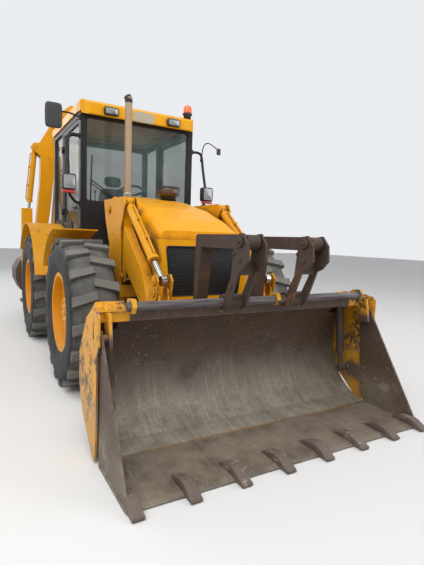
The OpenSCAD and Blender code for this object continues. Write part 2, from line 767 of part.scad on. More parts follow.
// A part of a thick ring about the bucket's centre, from x0 to x1
module sector(x0, x1, r0, r1, a0, a1) {
    side_plate(concat(arc(BACK_C, r1, a0, a1, 8), arc(BACK_C, r0, a1, a0, 8)), x0, x1 - x0);
}

module bucket_back() {
    h = bucket_w / 2;
    ear_in = plate_in;
    color(YELLOW) in_place() {
        // The shell, with a closed pocket at each end for the base of the clam's ram
        difference() {
            union() {
                back_sheet(-h + 12, h - 12, -77, 78);
                both() sector(clam_ram_x - 95, clam_ram_x + 95, back_r + 2, back_r + 92, 36.5, 63.5);
            }
            both() sector(clam_ram_x - 80, clam_ram_x + 80, back_r - 10, back_r + 80, 38, 62);
        }
        // End plates with a slot, cutting edge, top beam and hinge ears
        both() {
            difference() {
                side_plate([[-1650, 975], [-1560, 990], [-1400, 900], [-1215, 640], [-1210, 400],
                    [-1300, 230], [-1560, 20], [-1610, 20], [-1640, 200], [-1652, 700], [-1690, 765],
                    [-1690, 950]], h - 13, 13);
                block([h - 14, -1590, 790], [h + 1, -1565, 900]);
            }
            ears = [[-1222, 180], [-1040, 265], [-965, 300], [-975, 380], [-1110, 620], [-1150, 640],
                [-1225, 640]];
            for (x = [ear_in, plate_out]) difference() {
                side_plate(ears, x, plate);
                bar_x(BUCKET_PIN, pin_r + 2 * run, x - 1, x + plate + 1);
            }
            bar_x(LINK_LOW, pin_r, ear_in - 6, arm_x - 32);
            bar_x(LINK_LOW, pin_r, arm_x + 32, plate_out + plate + 6);
            // Hook bracket that holds the rail near its end
            side_plate(hook_side, h - 230, 30);
            // Hinge boss for the clam
            bar_x(CLAM_PIN, 28, h - 70, h - 12.5);
            side_plate([[-1690, 760], [-1600, 760], [-1560, 900], [-1600, 960], [-1660, 960]], h - 90, 20);
            bar_x(CLAM_PIN, 28, h - 90, h - 60);
            clam_ear = [[-1590, 905], [-1585, 955], [-1500, 984], [-1430, 958], [-1370, 915], [-1366, 884],
                [-1395, 864], [-1432, 868], [-1502, 899]];
            for (x = [clam_ram_x - 50, clam_ram_x + 50]) side_plate(clam_ear, x - 8, 16);
            bar_x(CLAM_BASE, 20, clam_ram_x - 58, clam_ram_x + 58);
        }
        block([-h + 20, -1590, 895], [h - 20, -1500, 960]);
        side_plate([[-1655, 20], [-1655, 38], [-1500, 65], [-1500, 48]], -h + 40, 2 * h - 80);
        bar_x(RAIL, rail_r, -h + 180, h - 180);
        side_plate(hook_side, 100, 30);
    }
}

module bucket_clam() {
    h = bucket_w / 2;
    color(DARK) in_place() {
        // Floor with its lip, side plates with the slanted front edge, and the teeth
        side_plate([[-2150, 0], [-2190, 12], [-2150, 24], [-1665, 28], [-1665, 2]], -h + 14, 2 * h - 28);
        side = [[-2190, 4], [-1665, 4], [-1600, 120], [-1560, 700], [-1580, 840], [-1660, 860], [-1700, 790]];
        both() {
            difference() {
                side_plate(side, h - 34, 14);
                bar_x(CLAM_PIN, 29, h - 40, h - 15);
            }
            side_plate([[-1640, 200], [-1660, 340], [-1460, 350], [-1415, 300], [-1450, 250]], h - 46, 13);
            bar_x(CLAM_EYE, 20, h - 75, h - 45);
        }
        tooth = [[LIP_Y, 10], [LIP_Y, 22], [-2180, 60], [-2080, 60], [-2080, 20], [-2160, 8]];
        end = h - 55;
        for (i = [0 : teeth - 1]) translate([-end + i * 2 * end / (teeth - 1), 0, 0])
            side_plate(tooth, -35, 70);
    }
}

module clam_barrels() {
    color(YELLOW) in_place() both() as_side(clam_ram_x)
        barrel_2d(CLAM_BASE, CLAM_EYE, 34, 20, 460, 80, 20);
}
module clam_rods() {
    color(STEEL) in_place() both() as_side(clam_ram_x)
        rod_2d(CLAM_BASE, CLAM_EYE, 20, 100, 32, 60);
}

module fork_arms() {
    // Two cheeks on each side of the tines, leaning forward from the rail to the knuckle pin
    cheek = [[-1725, 1000], [-1700, 1055], [-1770, 1180], [-1800, 1400], [-1830, 1470], [-1890, 1478],
        [-1950, 1410], [-1960, 1300], [-1900, 1240], [-1850, 1220], [-1740, 960], [-1690, 945]];
    color(RUST) in_place() for (x = [-275, 275]) {
        difference() {
            union() {
                for (dx = [-80, 62]) side_plate(cheek, x + dx, 18);
                bar_x(RAIL, 55, x - 80, x + 80);
            }
            bar_x(RAIL, rail_r + 1, x - 90, x + 90);
        }
        bar_x(FORK_PIN, 25, x - 88, x + 88);
        block([x - 63, -1830, 1200], [x + 63, -1815, 1290]);
    }
}

module fork_tines() {
    // A bar back from the knuckle pin and a tine that hangs behind the bucket
    color(RUST) in_place() for (x = [-275, 275]) difference() {
        union() {
            bar_x(FORK_PIN, 50, x - 50, x + 50);
            side_plate([[-1870, 1372], [-1290, 1372], [-1212, 760], [-1184, 640], [-1174, 640], [-1170, 760],
                [-1200, 1450], [-1215, 1470], [-1870, 1470]], x - 50, 100);
        }
        bar_x(FORK_PIN, 25 + 2 * run, x - 60, x + 60);
    }
}

module carriage() {
    color(YELLOW) in_place() {
        y1 = frame_rear;
        x = SLEW_X;
        // Back plate with a hook on the lower rail, and two arms bored for the slew pin
        block([x - 330, y1 + 0.3, 500], [x + 330, y1 + 70, 1020]);
        block([x - 330, y1 - 74, 620.3], [x + 330, y1 + 1, 640]);
        for (z = [630, 1000]) difference() {
            union() {
                block([x - 110, y1 + 60, z], [x + 110, slew_y, z + 50]);
                translate([x, slew_y, z]) cylinder(r = 110, h = 50);
            }
            translate([x, slew_y, z - 1]) cylinder(r = 50 + 2 * run, h = 52);
        }
    }
}

module kingpost() {
    color(YELLOW) in_place() {
        x = SLEW_X;
        translate([x, slew_y, 685.3]) cylinder(r = 100, h = 309);
        translate([x, slew_y, 600]) cylinder(r = 50, h = 490);
        // Cheeks with the foot pin and the lift ram's base pin
        cheek = [[x + 20, 1066], [x + 85, 1120], [x + 85, 1180], [x + 30, 1200], [-520, 1010], [-640, 990],
            [-640, 900], [-560, 880], [-440, 800], [-400, 690], [x, 690], [x, 990], [-430, 990], [-430, 1066]];
        for (y = [slew_y - boom_w / 2 - 30, slew_y + boom_w / 2 + 10]) cross_plate(cheek, y, 20);
        block([x - 95, slew_y - boom_w / 2 - 30, 700], [x - 1, slew_y + boom_w / 2 + 30, 820]);
        block([x - 60, slew_y - boom_w / 2 - 30, 1064], [x + 20, slew_y + boom_w / 2 + 30, 1084]);
        bar_y(FOOT_PIN, hoe_pin_r, slew_y - boom_w / 2 - 38, slew_y + boom_w / 2 + 38);
        bar_y(BOOM_BASE, hoe_pin_r, slew_y - boom_w / 2 - 38, slew_y + boom_w / 2 + 38);
    }
}

boom_side = [[-640, 930], [-600, 890], [-550, 890], [-510, 930], [-400, 1300], [-310, 1800], [-280, 2200],
    [-300, 2600], [-370, 2900], [-420, 3350], [-440, 3420], [-500, 3450], [-560, 3420], [-590, 3350],
    [-560, 2950], [-532, 2600], [-555, 2200], [-590, 1700], [-640, 1200]];

module boom() {
    y0 = slew_y - boom_w / 2;
    gap = dipper_w + 2 * side_gap;
    color(YELLOW) in_place() {
        difference() {
            cross_plate(boom_side, y0, boom_w);
            block([-700, slew_y - gap / 2, 2620], [-100, slew_y + gap / 2, 3600]);
            bar_y(FOOT_PIN, hoe_pin_r + 2 * run, y0 - 1, y0 + boom_w + 1);
        }
        // Ears of the two rams on the boom's back
        for (y = [slew_y - 75, slew_y + 55]) {
            cross_plate([[-320, 2000], [-180, 2090], [-150, 2150], [-190, 2210], [-290, 2230]], y, 20);
            cross_plate([[-290, 2270], [-180, 2350], [-165, 2430], [-210, 2480], [-300, 2500]], y, 20);
        }
        bar_y(BOOM_EYE, hoe_pin_r, slew_y - 83, slew_y - 74);
        bar_y(BOOM_EYE, hoe_pin_r, slew_y + 74, slew_y + 83);
        bar_y(DIPPER_BASE, hoe_pin_r, slew_y - 83, slew_y + 83);
        bar_y(TOP_PIN, hoe_pin_r, y0 - 10, y0 + boom_w + 10);
    }
}

module boom_barrel() {
    color(YELLOW) in_place() as_cross(slew_y)
        barrel_2d(BOOM_BASE, BOOM_EYE, 50, 30, 880, 100, hoe_pin_r);
}
module boom_rod() {
    color(STEEL) in_place() as_cross(slew_y)
        rod_2d(BOOM_BASE, BOOM_EYE, 30, 130, 48, 90);
}

dipper_side = [[-560, 3420], [-480, 3440], [-320, 3590], [-280, 3600], [-225, 3560], [-235, 3500],
    [-420, 3300], [-522, 2900], [-640, 1800], [-715, 1260], [-770, 1210], [-830, 1210], [-870, 1260],
    [-850, 1700], [-790, 2300], [-780, 2700], [-880, 2790], [-920, 2860], [-890, 2910], [-800, 2920],
    [-640, 3200]];

module dipper() {
    y0 = slew_y - dipper_w / 2;
    color(YELLOW) in_place() {
        difference() {
            cross_plate(dipper_side, y0, dipper_w);
            bar_y(TOP_PIN, hoe_pin_r + 2 * run, y0 - 1, y0 + dipper_w + 1);
            // Fork for the dipper ram's rod eye and slot for the bucket ram's base
            block([-425, slew_y - 55, 3200], [-100, slew_y + 55, 3700]);
            block([-1000, slew_y - 50, 2700], [-795, slew_y + 50, 3000]);
        }
        bar_y(RAM_TOP, hoe_pin_r, y0, y0 + dipper_w);
        bar_y(ROCKER_PIN, hoe_pin_r, y0 - 35, y0 + dipper_w + 35);
        bar_y(NOSE_PIN, hoe_pin_r, y0 - 35, y0 + dipper_w + 35);
    }
}

module dipper_barrel() {
    color(YELLOW) in_place() as_cross(slew_y)
        barrel_2d(DIPPER_BASE, DIPPER_EYE, 48, 28, 620, 90, hoe_pin_r);
}
module dipper_rod() {
    color(STEEL) in_place() as_cross(slew_y)
        rod_2d(DIPPER_BASE, DIPPER_EYE, 28, 510, 45, 90);
}
module crowd_barrel() {
    color(YELLOW) in_place() as_cross(slew_y)
        barrel_2d(RAM_TOP, ROCKER_END, 42, 26, 900, 90, hoe_pin_r);
}
module crowd_rod() {
    color(STEEL) in_place() as_cross(slew_y)
        rod_2d(RAM_TOP, ROCKER_END, 26, 420, 42, 60);
}

module rocker() {
    y0 = slew_y - dipper_w / 2;
    outline = [[-750, 1575], [-790, 1600], [-830, 1590], [-1030, 1440], [-1060, 1390], [-1030, 1345],
        [-980, 1350], [-760, 1510]];
    color(YELLOW) in_place() {
        for (y = [y0 - 25, y0 + dipper_w + 10]) difference() {
            cross_plate(outline, y, 15);
            bar_y(ROCKER_PIN, hoe_pin_r + 2 * run, y - 1, y + 16);
        }
        bar_y(ROCKER_END, hoe_pin_r, y0 - 31, slew_y - 35);
        bar_y(ROCKER_END, hoe_pin_r, slew_y + 35, y0 + dipper_w + 31);
    }
}

module rocker_link() {
    d = BUCKET_EAR - ROCKER_END;
    color(YELLOW) in_place() for (y = [slew_y - 80, slew_y + 40]) difference() {
        union() {
            bar_y(ROCKER_END, 42, y, y + 40);
            bar_y(BUCKET_EAR, 42, y, y + 40);
            translate([0, y + 20, 0]) rotate([90, 0, 0]) translate([ROCKER_END[0], ROCKER_END[1], 0])
                rotate([0, 0, atan2(d[1], d[0])]) block([20, -28, -18], [norm(d) - 20, 28, 18]);
        }
        for (p = [ROCKER_END, BUCKET_EAR]) bar_y(p, hoe_pin_r + 2 * run, y - 1, y + 41);
    }
}

// Outer side of the digging bucket in x and z
dig_side = [[-820, 1080], [-1000, 1080], [-1130, 1000], [-1200, 860], [-1200, 690], [-1130, 530],
    [-980, 425], [-840, 370], [-800, 385]];

module digging_bucket() {
    y0 = slew_y - dig_w / 2;
    inner = [[-700, 1058], [-995, 1058], [-1115, 988], [-1180, 855], [-1180, 695], [-1114, 544], [-970, 445],
        [-835, 392], [-700, 400]];
    ears = [[-830, 1070], [-1000, 1070], [-985, 1170], [-940, 1190], [-850, 1330], [-800, 1345], [-750, 1320],
        [-745, 1260]];
    color(RUST) in_place() {
        difference() {
            cross_plate(dig_side, y0, dig_w);
            cross_plate(inner, y0 + 16, dig_w - 32);
        }
        // Ears on the bucket's head, and four teeth on its lip
        for (y = [slew_y - dipper_w / 2 - 45, slew_y + dipper_w / 2 + 29]) difference() {
            cross_plate(ears, y, 16);
            bar_y(NOSE_PIN, hoe_pin_r + 2 * run, y - 1, y + 17);
        }
        bar_y(BUCKET_EAR, hoe_pin_r, slew_y - dipper_w / 2 - 53, slew_y - dipper_w / 2 - 44);
        bar_y(BUCKET_EAR, hoe_pin_r, slew_y + dipper_w / 2 + 44, slew_y + dipper_w / 2 + 53);
        for (i = [0 : 3]) translate([0, y0 + 20 + i * (dig_w - 100) / 3, 0])
            cross_plate([[-860, 380], [-810, 388], [-740, 300], [-752, 290]], 0, 60);
    }
}

chassis_frame();
towers();
side_tanks();
drive_line();
nose_panel();
grille();
exhaust();
fenders();
cab_frame();
cab_roof();
cab_glass();
cab_interior();
seat_pads();
lamps();
rear_frame();
hood();
door(1);  // door_left
door(-1);  // door_right
door_glass(1);  // door_glass_left
door_glass(-1);  // door_glass_right
knuckle(1, 0);  // knuckle_front_left
knuckle(-1, 0);  // knuckle_front_right
knuckle(1, rear_axle);  // knuckle_rear_left
knuckle(-1, rear_axle);  // knuckle_rear_right
tyre(1, 0);  // tyre_front_left
tyre(-1, 0);  // tyre_front_right
tyre(1, rear_axle);  // tyre_rear_left
tyre(-1, rear_axle);  // tyre_rear_right
rim(1, 0);  // rim_front_left
rim(-1, 0);  // rim_front_right
rim(1, rear_axle);  // rim_rear_left
rim(-1, rear_axle);  // rim_rear_right
loader_arms();
lift_barrels();
lift_rods();
tilt_barrels();
tilt_rods();
tipping_levers();
tipping_links();
bucket_back();
bucket_clam();
clam_barrels();
clam_rods();
fork_arms();
fork_tines();
carriage();
kingpost();
boom();
boom_barrel();
boom_rod();
dipper();
dipper_barrel();
dipper_rod();
crowd_barrel();
crowd_rod();
rocker();
rocker_link();
digging_bucket();
leg(1);  // leg_left
leg(-1);  // leg_right

// Outline of a door in y and z, narrowed at the foot by the rear wheel
door_side = [[cab_front + 64, 2784], [1944, 2784], [1944, 1556], [1530, 1556], [1460, 1456], [1356, 1298],
    [1256, cab_floor + 6],
    [cab_front + 64, cab_floor + 6]];
door_hole = [[cab_front + 114, 2734], [1894, 2734], [1894, 1606], [1506, 1606], [1418, 1484], [1312, 1322],
    [1222, cab_floor + 56],
    [cab_front + 114, cab_floor + 56]];

module door(side) {
    color(BLACK) in_place() scale_x(side) {
        difference() {
            side_plate(door_side, cab_half - 34, 30);
            side_plate(door_hole, cab_half - 40, 60);
        }
        for (z = [1740.3, 2560.3]) {
            translate([cab_half + 12, 1950, z]) cylinder(r = 11, h = 40);
            block([cab_half - 5, 1900, z], [cab_half + 12, 1950, z + 40]);
        }
    }
}

module door_glass(side) {
    color("lightblue") in_place() scale_x(side)
        side_plate(door_hole, cab_half - 24, glass_t);
}
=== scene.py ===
# %% [markdown]
# # Dressing a backhoe loader
#
# This machine has a loader at its nose and a digging arm at its tail. Its steelwork, wheels, joints
# and glass come ready made from the CAD model, a fixed frame. This lesson adds what a workshop and a
# building site add to bare steel: paint and wear, dust, rubber, lamps, pipes, cushions and fittings.
#
# Everything is in metres. The machine faces -Y, its left side is +X and the ground is z = 0.

# %% Load the frame
import bpy
import math
import numpy as np
from functools import partialmethod
from mathutils import Matrix, Vector


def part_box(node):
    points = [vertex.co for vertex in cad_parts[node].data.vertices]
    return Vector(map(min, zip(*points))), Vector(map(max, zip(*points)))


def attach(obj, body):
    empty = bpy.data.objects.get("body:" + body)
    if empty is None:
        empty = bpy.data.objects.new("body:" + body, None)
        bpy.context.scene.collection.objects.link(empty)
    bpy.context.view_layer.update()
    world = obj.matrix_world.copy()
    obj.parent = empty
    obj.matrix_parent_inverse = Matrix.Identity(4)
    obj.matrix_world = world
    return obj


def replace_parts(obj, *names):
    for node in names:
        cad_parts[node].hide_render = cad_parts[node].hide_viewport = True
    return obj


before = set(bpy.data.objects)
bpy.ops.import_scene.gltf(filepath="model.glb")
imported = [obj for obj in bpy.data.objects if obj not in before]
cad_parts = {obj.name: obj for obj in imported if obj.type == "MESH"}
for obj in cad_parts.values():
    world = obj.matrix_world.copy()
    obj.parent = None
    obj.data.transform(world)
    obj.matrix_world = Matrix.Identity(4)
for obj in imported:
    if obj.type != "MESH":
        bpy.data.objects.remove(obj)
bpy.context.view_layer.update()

# %% [markdown]
# The frame's origin is under the middle of the whole machine, while places on it are easier to count
# from the front axle. The front wheel's middle is that axle, and gives the shift.

# %% Places counted from the front axle
def middle(node):
    """The middle of a node's box."""
    return np.mean(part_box(node), axis=0)


AXLE_Y = middle("rim_front_left")[1]


def places(points, s=1):
    """Places counted from the front axle, in the frame's own coordinates. With s = -1 they are mirrored
    to the machine's right side."""
    return np.asarray(points) * (s, 1, 1) + (0, AXLE_Y, 0)


def at(x, y, z):
    """One such place."""
    return places((x, y, z))


def linked(name, data):
    """A new object in the scene that shows the data."""
    made = bpy.data.objects.new(name, data)
    bpy.context.collection.objects.link(made)
    return made


print("front axle at y =", round(float(AXLE_Y), 4))

# %% [markdown]
# ## The camera
#
# The photograph was taken from eye height, a little to the right of the machine's nose. The camera's
# direction is built from three turns: yaw about the vertical, pitch up or down, and a small roll. A
# camera looks along its own -Z, so the pitch has a right angle added to look ahead.

# %% Camera
EYE = at(-1.893, -4.168, 1.427)
YAW, PITCH, ROLL = (math.radians(a) for a in (30.175, -5.694, 1.921))
FOCAL_PX, FRAME_PX = 425.95, 565

camera_data = bpy.data.cameras.new("camera")
camera_data.sensor_width = 36
camera_data.lens = FOCAL_PX * camera_data.sensor_width / FRAME_PX
camera_data.clip_end = 200
camera = linked("camera", camera_data)
stand = Matrix.Translation(Vector(EYE))
for turn, axis in ((-YAW, "Z"), (math.pi / 2 + PITCH, "X"), (ROLL, "Z")):
    stand = stand @ Matrix.Rotation(turn, 4, axis)
camera.matrix_world = stand
bpy.context.scene.camera = camera
print("lens", round(camera_data.lens, 2), "mm at", EYE.round(3))

# %% [markdown]
# ## Surfaces from two parameters
#
# Nearly every fitting is one of four shapes: a grid of points bent into a sheet, a round section
# carried along a path, a profile turned about an axis, and a box with soft corners. Each is computed
# as whole arrays, which is quick and keeps it a formula that can be read. A part is a pair of points
# and faces, and a piece is a list of parts.

# %% From arrays to a mesh object
def joined(name, parts, smooth=True):
    """One object at the origin, with its place in its mesh, from a list of (points, faces): the arrays
    are stacked and the numbers in the faces moved up."""
    faces, start = [], 0
    for points, part_faces in parts:
        faces += [[start + int(k) for k in face] for face in part_faces]
        start += len(points)
    mesh = bpy.data.meshes.new(name)
    mesh.from_pydata(np.vstack([points for points, _ in parts]).tolist(), [], faces)
    mesh.polygons.foreach_set("use_smooth", np.full(len(mesh.polygons), smooth))
    mesh.update()
    return linked(name, mesh)


def grid_faces(rows, columns, wrap=True):
    """Quads between neighbouring rows of points. With wrap, each row closes on itself."""
    across = np.arange(columns if wrap else columns - 1)
    i, j = np.meshgrid(np.arange(rows - 1) * columns, across, indexing="ij")
    k = (j + 1) % columns
    return np.stack([i + j, i + k, i + columns + k, i + columns + j], -1).reshape(-1, 4)


def capped(rows, columns):
    """The quads of a closed tube of rows, with a face over each end."""
    first = list(range(columns))
    return grid_faces(rows, columns).tolist() + [first[::-1], [(rows - 1) * columns + k for k in first]]


# %% A round section along a path
def angles(count):
    """Angles at even steps round a circle."""
    return np.linspace(0, 2 * np.pi, count, endpoint=False)


def unit(vectors):
    """Each vector made one long."""
    return vectors / np.linalg.norm(vectors, axis=-1, keepdims=True)


def smooth_path(points, steps=8):
    """A smooth curve through the points: between two of them, the cubic whose slope at each is half
    the step from its neighbour before to its neighbour after."""
    p = np.asarray(points, float)
    ends = np.vstack([2 * p[0] - p[1], p, 2 * p[-1] - p[-2]])
    t = np.linspace(0, 1, steps, endpoint=False)[:, None]
    a, b, c, d = (ends[k:len(ends) - 3 + k, None, :] for k in range(4))
    square, cube = 2 * a - 5 * b + 4 * c - d, 3 * b - a - 3 * c + d
    curve = 0.5 * (2 * b + (c - a) * t + square * t ** 2 + cube * t ** 3)
    return np.vstack([curve.reshape(-1, 3), p[-1]])


def tube(path, radius, sides=10):
    """A tube: at each point of the path p, the circle p + radius (u cos a + v sin a). The axes u and v
    are square to the path, and come from one fixed direction so that they don't twist."""
    path = np.asarray(path, float)
    along = unit(np.gradient(path, axis=0))
    u = unit(np.cross(along, np.eye(3)[np.argmin(np.abs(along).max(axis=0))]))
    v = np.cross(along, u)
    around = angles(sides)[None, :, None]
    points = path[:, None] + radius * (np.cos(around) * u[:, None] + np.sin(around) * v[:, None])
    return points.reshape(-1, 3), capped(len(path), sides)


def rod(points, radius, sides=10, s=1):
    """A smooth tube through places counted from the front axle."""
    return tube(smooth_path(places(points, s)), radius, sides)


# %% A profile turned about an axis
def lathe(profile, centre, axis=(0, 0, 1), sides=24):
    """A turned part. The profile is (radius, height) pairs, with the height counted along the axis."""
    axis = unit(np.asarray(axis, float))
    u = unit(np.cross(axis, [1.0, 0, 0] if abs(axis[0]) < 0.9 else [0, 1.0, 0]))
    around = angles(sides)[:, None]
    ring = np.cos(around) * u + np.sin(around) * np.cross(axis, u)
    radius, height = np.asarray(profile, float).T[:, :, None, None]
    return (np.asarray(centre) + radius * ring + height * axis).reshape(-1, 3), capped(len(radius), sides)


# %% A box with soft corners
def curl(wave, power):
    """A cosine or sine raised to 2 / power with its sign kept, which bends a circle towards a square."""
    return np.sign(wave) * np.abs(wave) ** (2 / power)


def soft_box(centre, size, power=6, columns=20, rows=12, lean=0):
    """A superquadric: a sphere whose cosines and sines are curled, so that a power of 2 is an egg and a
    large one is nearly a box. It leans back by so many degrees."""
    pole = 0.98 * np.pi / 2
    rise, across = np.meshgrid(np.linspace(-pole, pole, rows), angles(columns) - np.pi, indexing="ij")
    ring = curl(np.cos(rise), power)
    shape = np.stack([ring * curl(np.cos(across), power), ring * curl(np.sin(across), power),
                      curl(np.sin(rise), power)], -1) * size / 2
    shape = shape @ np.array(Matrix.Rotation(math.radians(-lean), 3, "X")).T
    return (shape + centre).reshape(-1, 3), capped(rows, columns)


# %% [markdown]
# ## Writing node trees
#
# The world and every finish are trees of nodes. A small helper writes them: it takes a node's kind
# and what feeds each input, a number, a colour or another node's output, and gives back the output
# to use next.

# %% The helper
class Wiring:
    """Adds nodes to a tree. It knows the place of a point of the surface and the direction it faces."""

    def __init__(self, tree, place=None, facing=None):
        self.tree, self.place, self.facing = tree, place, facing

    def feed(self, sockets, values):
        """Sets or links each named input. Underscores in the names stand for spaces."""
        for key, value in values.items():
            socket = sockets[key.replace("_", " ") if isinstance(key, str) else key]
            if isinstance(value, bpy.types.NodeSocket):
                self.tree.links.new(value, socket)
            else:
                socket.default_value = (*value, 1) if socket.type == "RGBA" else value

    def node(self, kind, feeds=(), output=0, **settings):
        made = self.tree.nodes.new("ShaderNode" + kind)
        for key, value in settings.items():
            setattr(made, key, value)
        self.feed(made.inputs, dict(feeds))
        return made.outputs[output]

    def math(self, operation, a, b=0.0, clamp=False):
        return self.node("Math", {0: a, 1: b}, operation=operation, use_clamp=clamp)

    plus = partialmethod(math, "ADD")
    minus = partialmethod(math, "SUBTRACT")
    times = partialmethod(math, "MULTIPLY")
    larger = partialmethod(math, "MAXIMUM")

    def vector(self, operation, a, b=(0, 0, 0), output=0):
        return self.node("VectorMath", {0: a, 1: b}, output, operation=operation)

    def axes(self, vector):
        """The x, y and z of a vector."""
        return self.node("SeparateXYZ", {0: vector}).node.outputs

    def remap(self, value, low, high, to_low=0.0, to_high=1.0):
        return self.node("MapRange", enumerate((value, low, high, to_low, to_high)))

    def mix(self, factor, a, b):
        return self.node("Mix", {0: factor, 6: a, 7: b}, output=2, data_type="RGBA")

    def noise(self, scale, detail=4.0, roughness=0.6, place=None):
        return self.node("TexNoise", {"Vector": place or self.place, "Scale": scale, "Detail": detail,
                                      "Roughness": roughness})

    def spots(self, scale, low, high, *noise):
        """Noise as a mask: nothing where it is under low, and whole where it is over high."""
        return self.remap(self.noise(scale, *noise), low, high)

    def bump(self, height, strength, distance):
        return self.node("Bump", {"Height": height, "Strength": strength, "Distance": distance})

    def use(self, group, **sockets):
        """Places an effect, which is a node group."""
        made = self.tree.nodes.new("ShaderNodeGroup")
        made.node_tree = group
        self.feed(made.inputs, dict(sockets, place=self.place, facing=self.facing))
        return made.outputs[0]


# %% A material
def material(name):
    """The wiring of a new material, on the object's own coordinates."""
    made = bpy.data.materials.new(name)
    made.use_nodes = True
    coordinates = made.node_tree.nodes.new("ShaderNodeTexCoord").outputs
    w = Wiring(made.node_tree, coordinates["Object"], coordinates["Normal"])
    w.made = made
    return w


def finish(w, **sockets):
    """Sets or links inputs of a material's shader, and gives back the material."""
    w.feed(w.tree.nodes["Principled BSDF"].inputs, sockets)
    return w.made


def dress(piece, coat):
    """Puts one finish on a whole piece."""
    piece.data.materials.clear()
    piece.data.materials.append(coat)


# %% [markdown]
# ## Floor and light
#
# A plain pale floor and soft light from above, from the left and from behind, as on a cloudy day.
# Light Path shows the camera, reflections and glass a paler background, which adds no light.

# %% Floor and light
FLOOR_HALF = 40.0
corners = FLOOR_HALF * np.array([(-1, -1, 0), (1, -1, 0), (1, 1, 0), (-1, 1, 0)])
floor = joined("floor", [(corners, [(0, 1, 2, 3)])], smooth=False)
dress(floor, finish(material("pale floor"), Base_Color=(0.7, 0.69, 0.67), Roughness=0.9))

world = bpy.data.worlds.new("studio")
world.use_nodes = True
w = Wiring(world.node_tree)
backdrop = w.tree.nodes["Background"]
w.feed(backdrop.inputs, {"Color": (0.93, 0.95, 1.0), "Strength": 0.55})
pale = w.node("Background", {"Color": (0.92, 0.94, 0.97), "Strength": 0.9})
rays = w.tree.nodes.new("ShaderNodeLightPath").outputs
seen = w.larger(w.larger(rays["Is Camera Ray"], rays["Is Glossy Ray"]), rays["Is Transmission Ray"])
shown = w.node("MixShader", {0: seen, 1: backdrop.outputs[0], 2: pale})
w.feed(w.tree.nodes["World Output"].inputs, {"Surface": shown})
bpy.context.scene.world = world


def soft_lamp(name, place, size, power):
    """A large square lamp that looks at the machine's middle."""
    data = bpy.data.lights.new(name, "AREA")
    data.size = size
    data.energy = power
    lamp = linked(name, data)
    lamp.location = place
    lamp.rotation_euler = (Vector((0, -0.5, 1.2)) - Vector(place)).to_track_quat("-Z", "Y").to_euler()


soft_lamp("sky", (-4, -5, 9), 9, 900)
soft_lamp("fill", (7, -6, 5), 7, 260)
soft_lamp("behind", (-5, 9, 7), 8, 320)
bpy.context.scene.view_settings.view_transform = "Standard"

# %% [markdown]
# ## Effects that several finishes share
#
# Dust, chips and grime turn up on nearly every surface of a working machine, and corners get painted
# shade, so each is a node group with named inputs, built once and placed in each finish with its own values.
#
# Dust lies low down, on faces that look up, and in patches. The group multiplies a height ramp by
# patchy noise and adds the upward faces.

# %% Node groups, and dust as the first
def effect(name, output, build, **numbers):
    """A node group that takes place, facing and numbers with these usual values. build wires them to the
    one output."""
    group = bpy.data.node_groups.new(name, "ShaderNodeTree")
    for label in ("place", "facing", *numbers):
        kind = "NodeSocketFloat" if label in numbers else "NodeSocketVector"
        socket = group.interface.new_socket(name=label, in_out="INPUT", socket_type=kind)
        if label in numbers:
            socket.default_value = numbers[label]
    group.interface.new_socket(name=output, in_out="OUTPUT", socket_type="NodeSocketFloat")
    given = group.nodes.new("NodeGroupInput").outputs
    result = build(Wiring(group, given["place"], given["facing"]), *(given[label] for label in numbers))
    group.links.new(result, group.nodes.new("NodeGroupOutput").inputs[0])
    return group


def wire_dust(w, bottom, top, scale, amount):
    low_down = w.remap(w.axes(w.place)[2], top, bottom)
    patches = w.spots(scale, 0.35, 0.7, 6.0, 0.65)
    upward = w.remap(w.axes(w.facing)[2], 0.55, 1.0)
    lying = w.times(upward, w.spots(5.0, 0.38, 0.68))
    thrown = w.times(low_down, w.plus(w.times(patches, 0.8), 0.2))
    return w.times(w.plus(thrown, w.times(lying, 0.6), clamp=True), amount, clamp=True)


DUST = effect("dust", "mask", wire_dust, bottom=0.2, top=1.6, scale=2.5, amount=0.6)

# %% [markdown]
# Paint chips first on edges. The Bevel node gives the direction a surface would face if its edges
# were rounded, and where that differs from the real direction there is an edge. Noise breaks it up.

# %% Worn edges
def wire_edges(w, reach, scale, amount):
    rounded = w.node("Bevel", {"Radius": reach}, samples=3)
    same = w.vector("DOT_PRODUCT", rounded, w.node("NewGeometry", output=1), output=1)
    edge = w.remap(same, 0.985, 0.8)
    return w.times(w.times(edge, w.spots(scale, 0.45, 0.6, 5.0, 0.7)), amount, clamp=True)


EDGES = effect("worn edges", "mask", wire_edges, reach=0.006, scale=9.0, amount=0.9)

# %% [markdown]
# Chips and rust spots inside a panel are islands: the peaks of one noise, thinned by a second and
# larger one, so that they come in crowds.

# %% Chips
def wire_chips(w, scale, level):
    crowd = w.spots(w.times(scale, 0.12), 0.45, 0.62, 2.0)
    return w.times(crowd, w.spots(scale, level, w.plus(level, 0.03), 5.0, 0.7), clamp=True)


CHIPS = effect("chips", "mask", wire_chips, scale=16.0, level=0.66)

# %% [markdown]
# Grease and wet dirt stay in corners, round pins and where plates overlap, and shade falls there too, so
# this darkening is both grime and painted shade. The Ambient Occlusion node tells how closed in a point is,
# and noise frays the dark rim that follows from it.

# %% Painted shade and grime in corners
def wire_grime_and_shade(w, reach, amount):
    # A closed-in point is painted darker because shade falls there, and grease gathers there too.
    open_share = w.node("AmbientOcclusion", {"Distance": reach}, output=1, samples=4)
    fray = w.times(w.minus(w.noise(11.0, 6.0, 0.7), 0.5), 0.9)
    return w.times(w.remap(w.plus(open_share, fray), 0.78, 0.38), amount, clamp=True)


GRIME_AND_SHADE = effect("painted shade and grease in corners", "mask", wire_grime_and_shade, reach=0.09, amount=0.7)

# %% [markdown]
# ## Finishes
#
# A finish is one material with the effects placed in it. Painted steel is the main one: a colour
# that drifts a little, chips down to dark primer and rust, and dust on top, which dulls the gloss. A
# faint unevenness in the normals keeps large flat plates from looking like plastic.

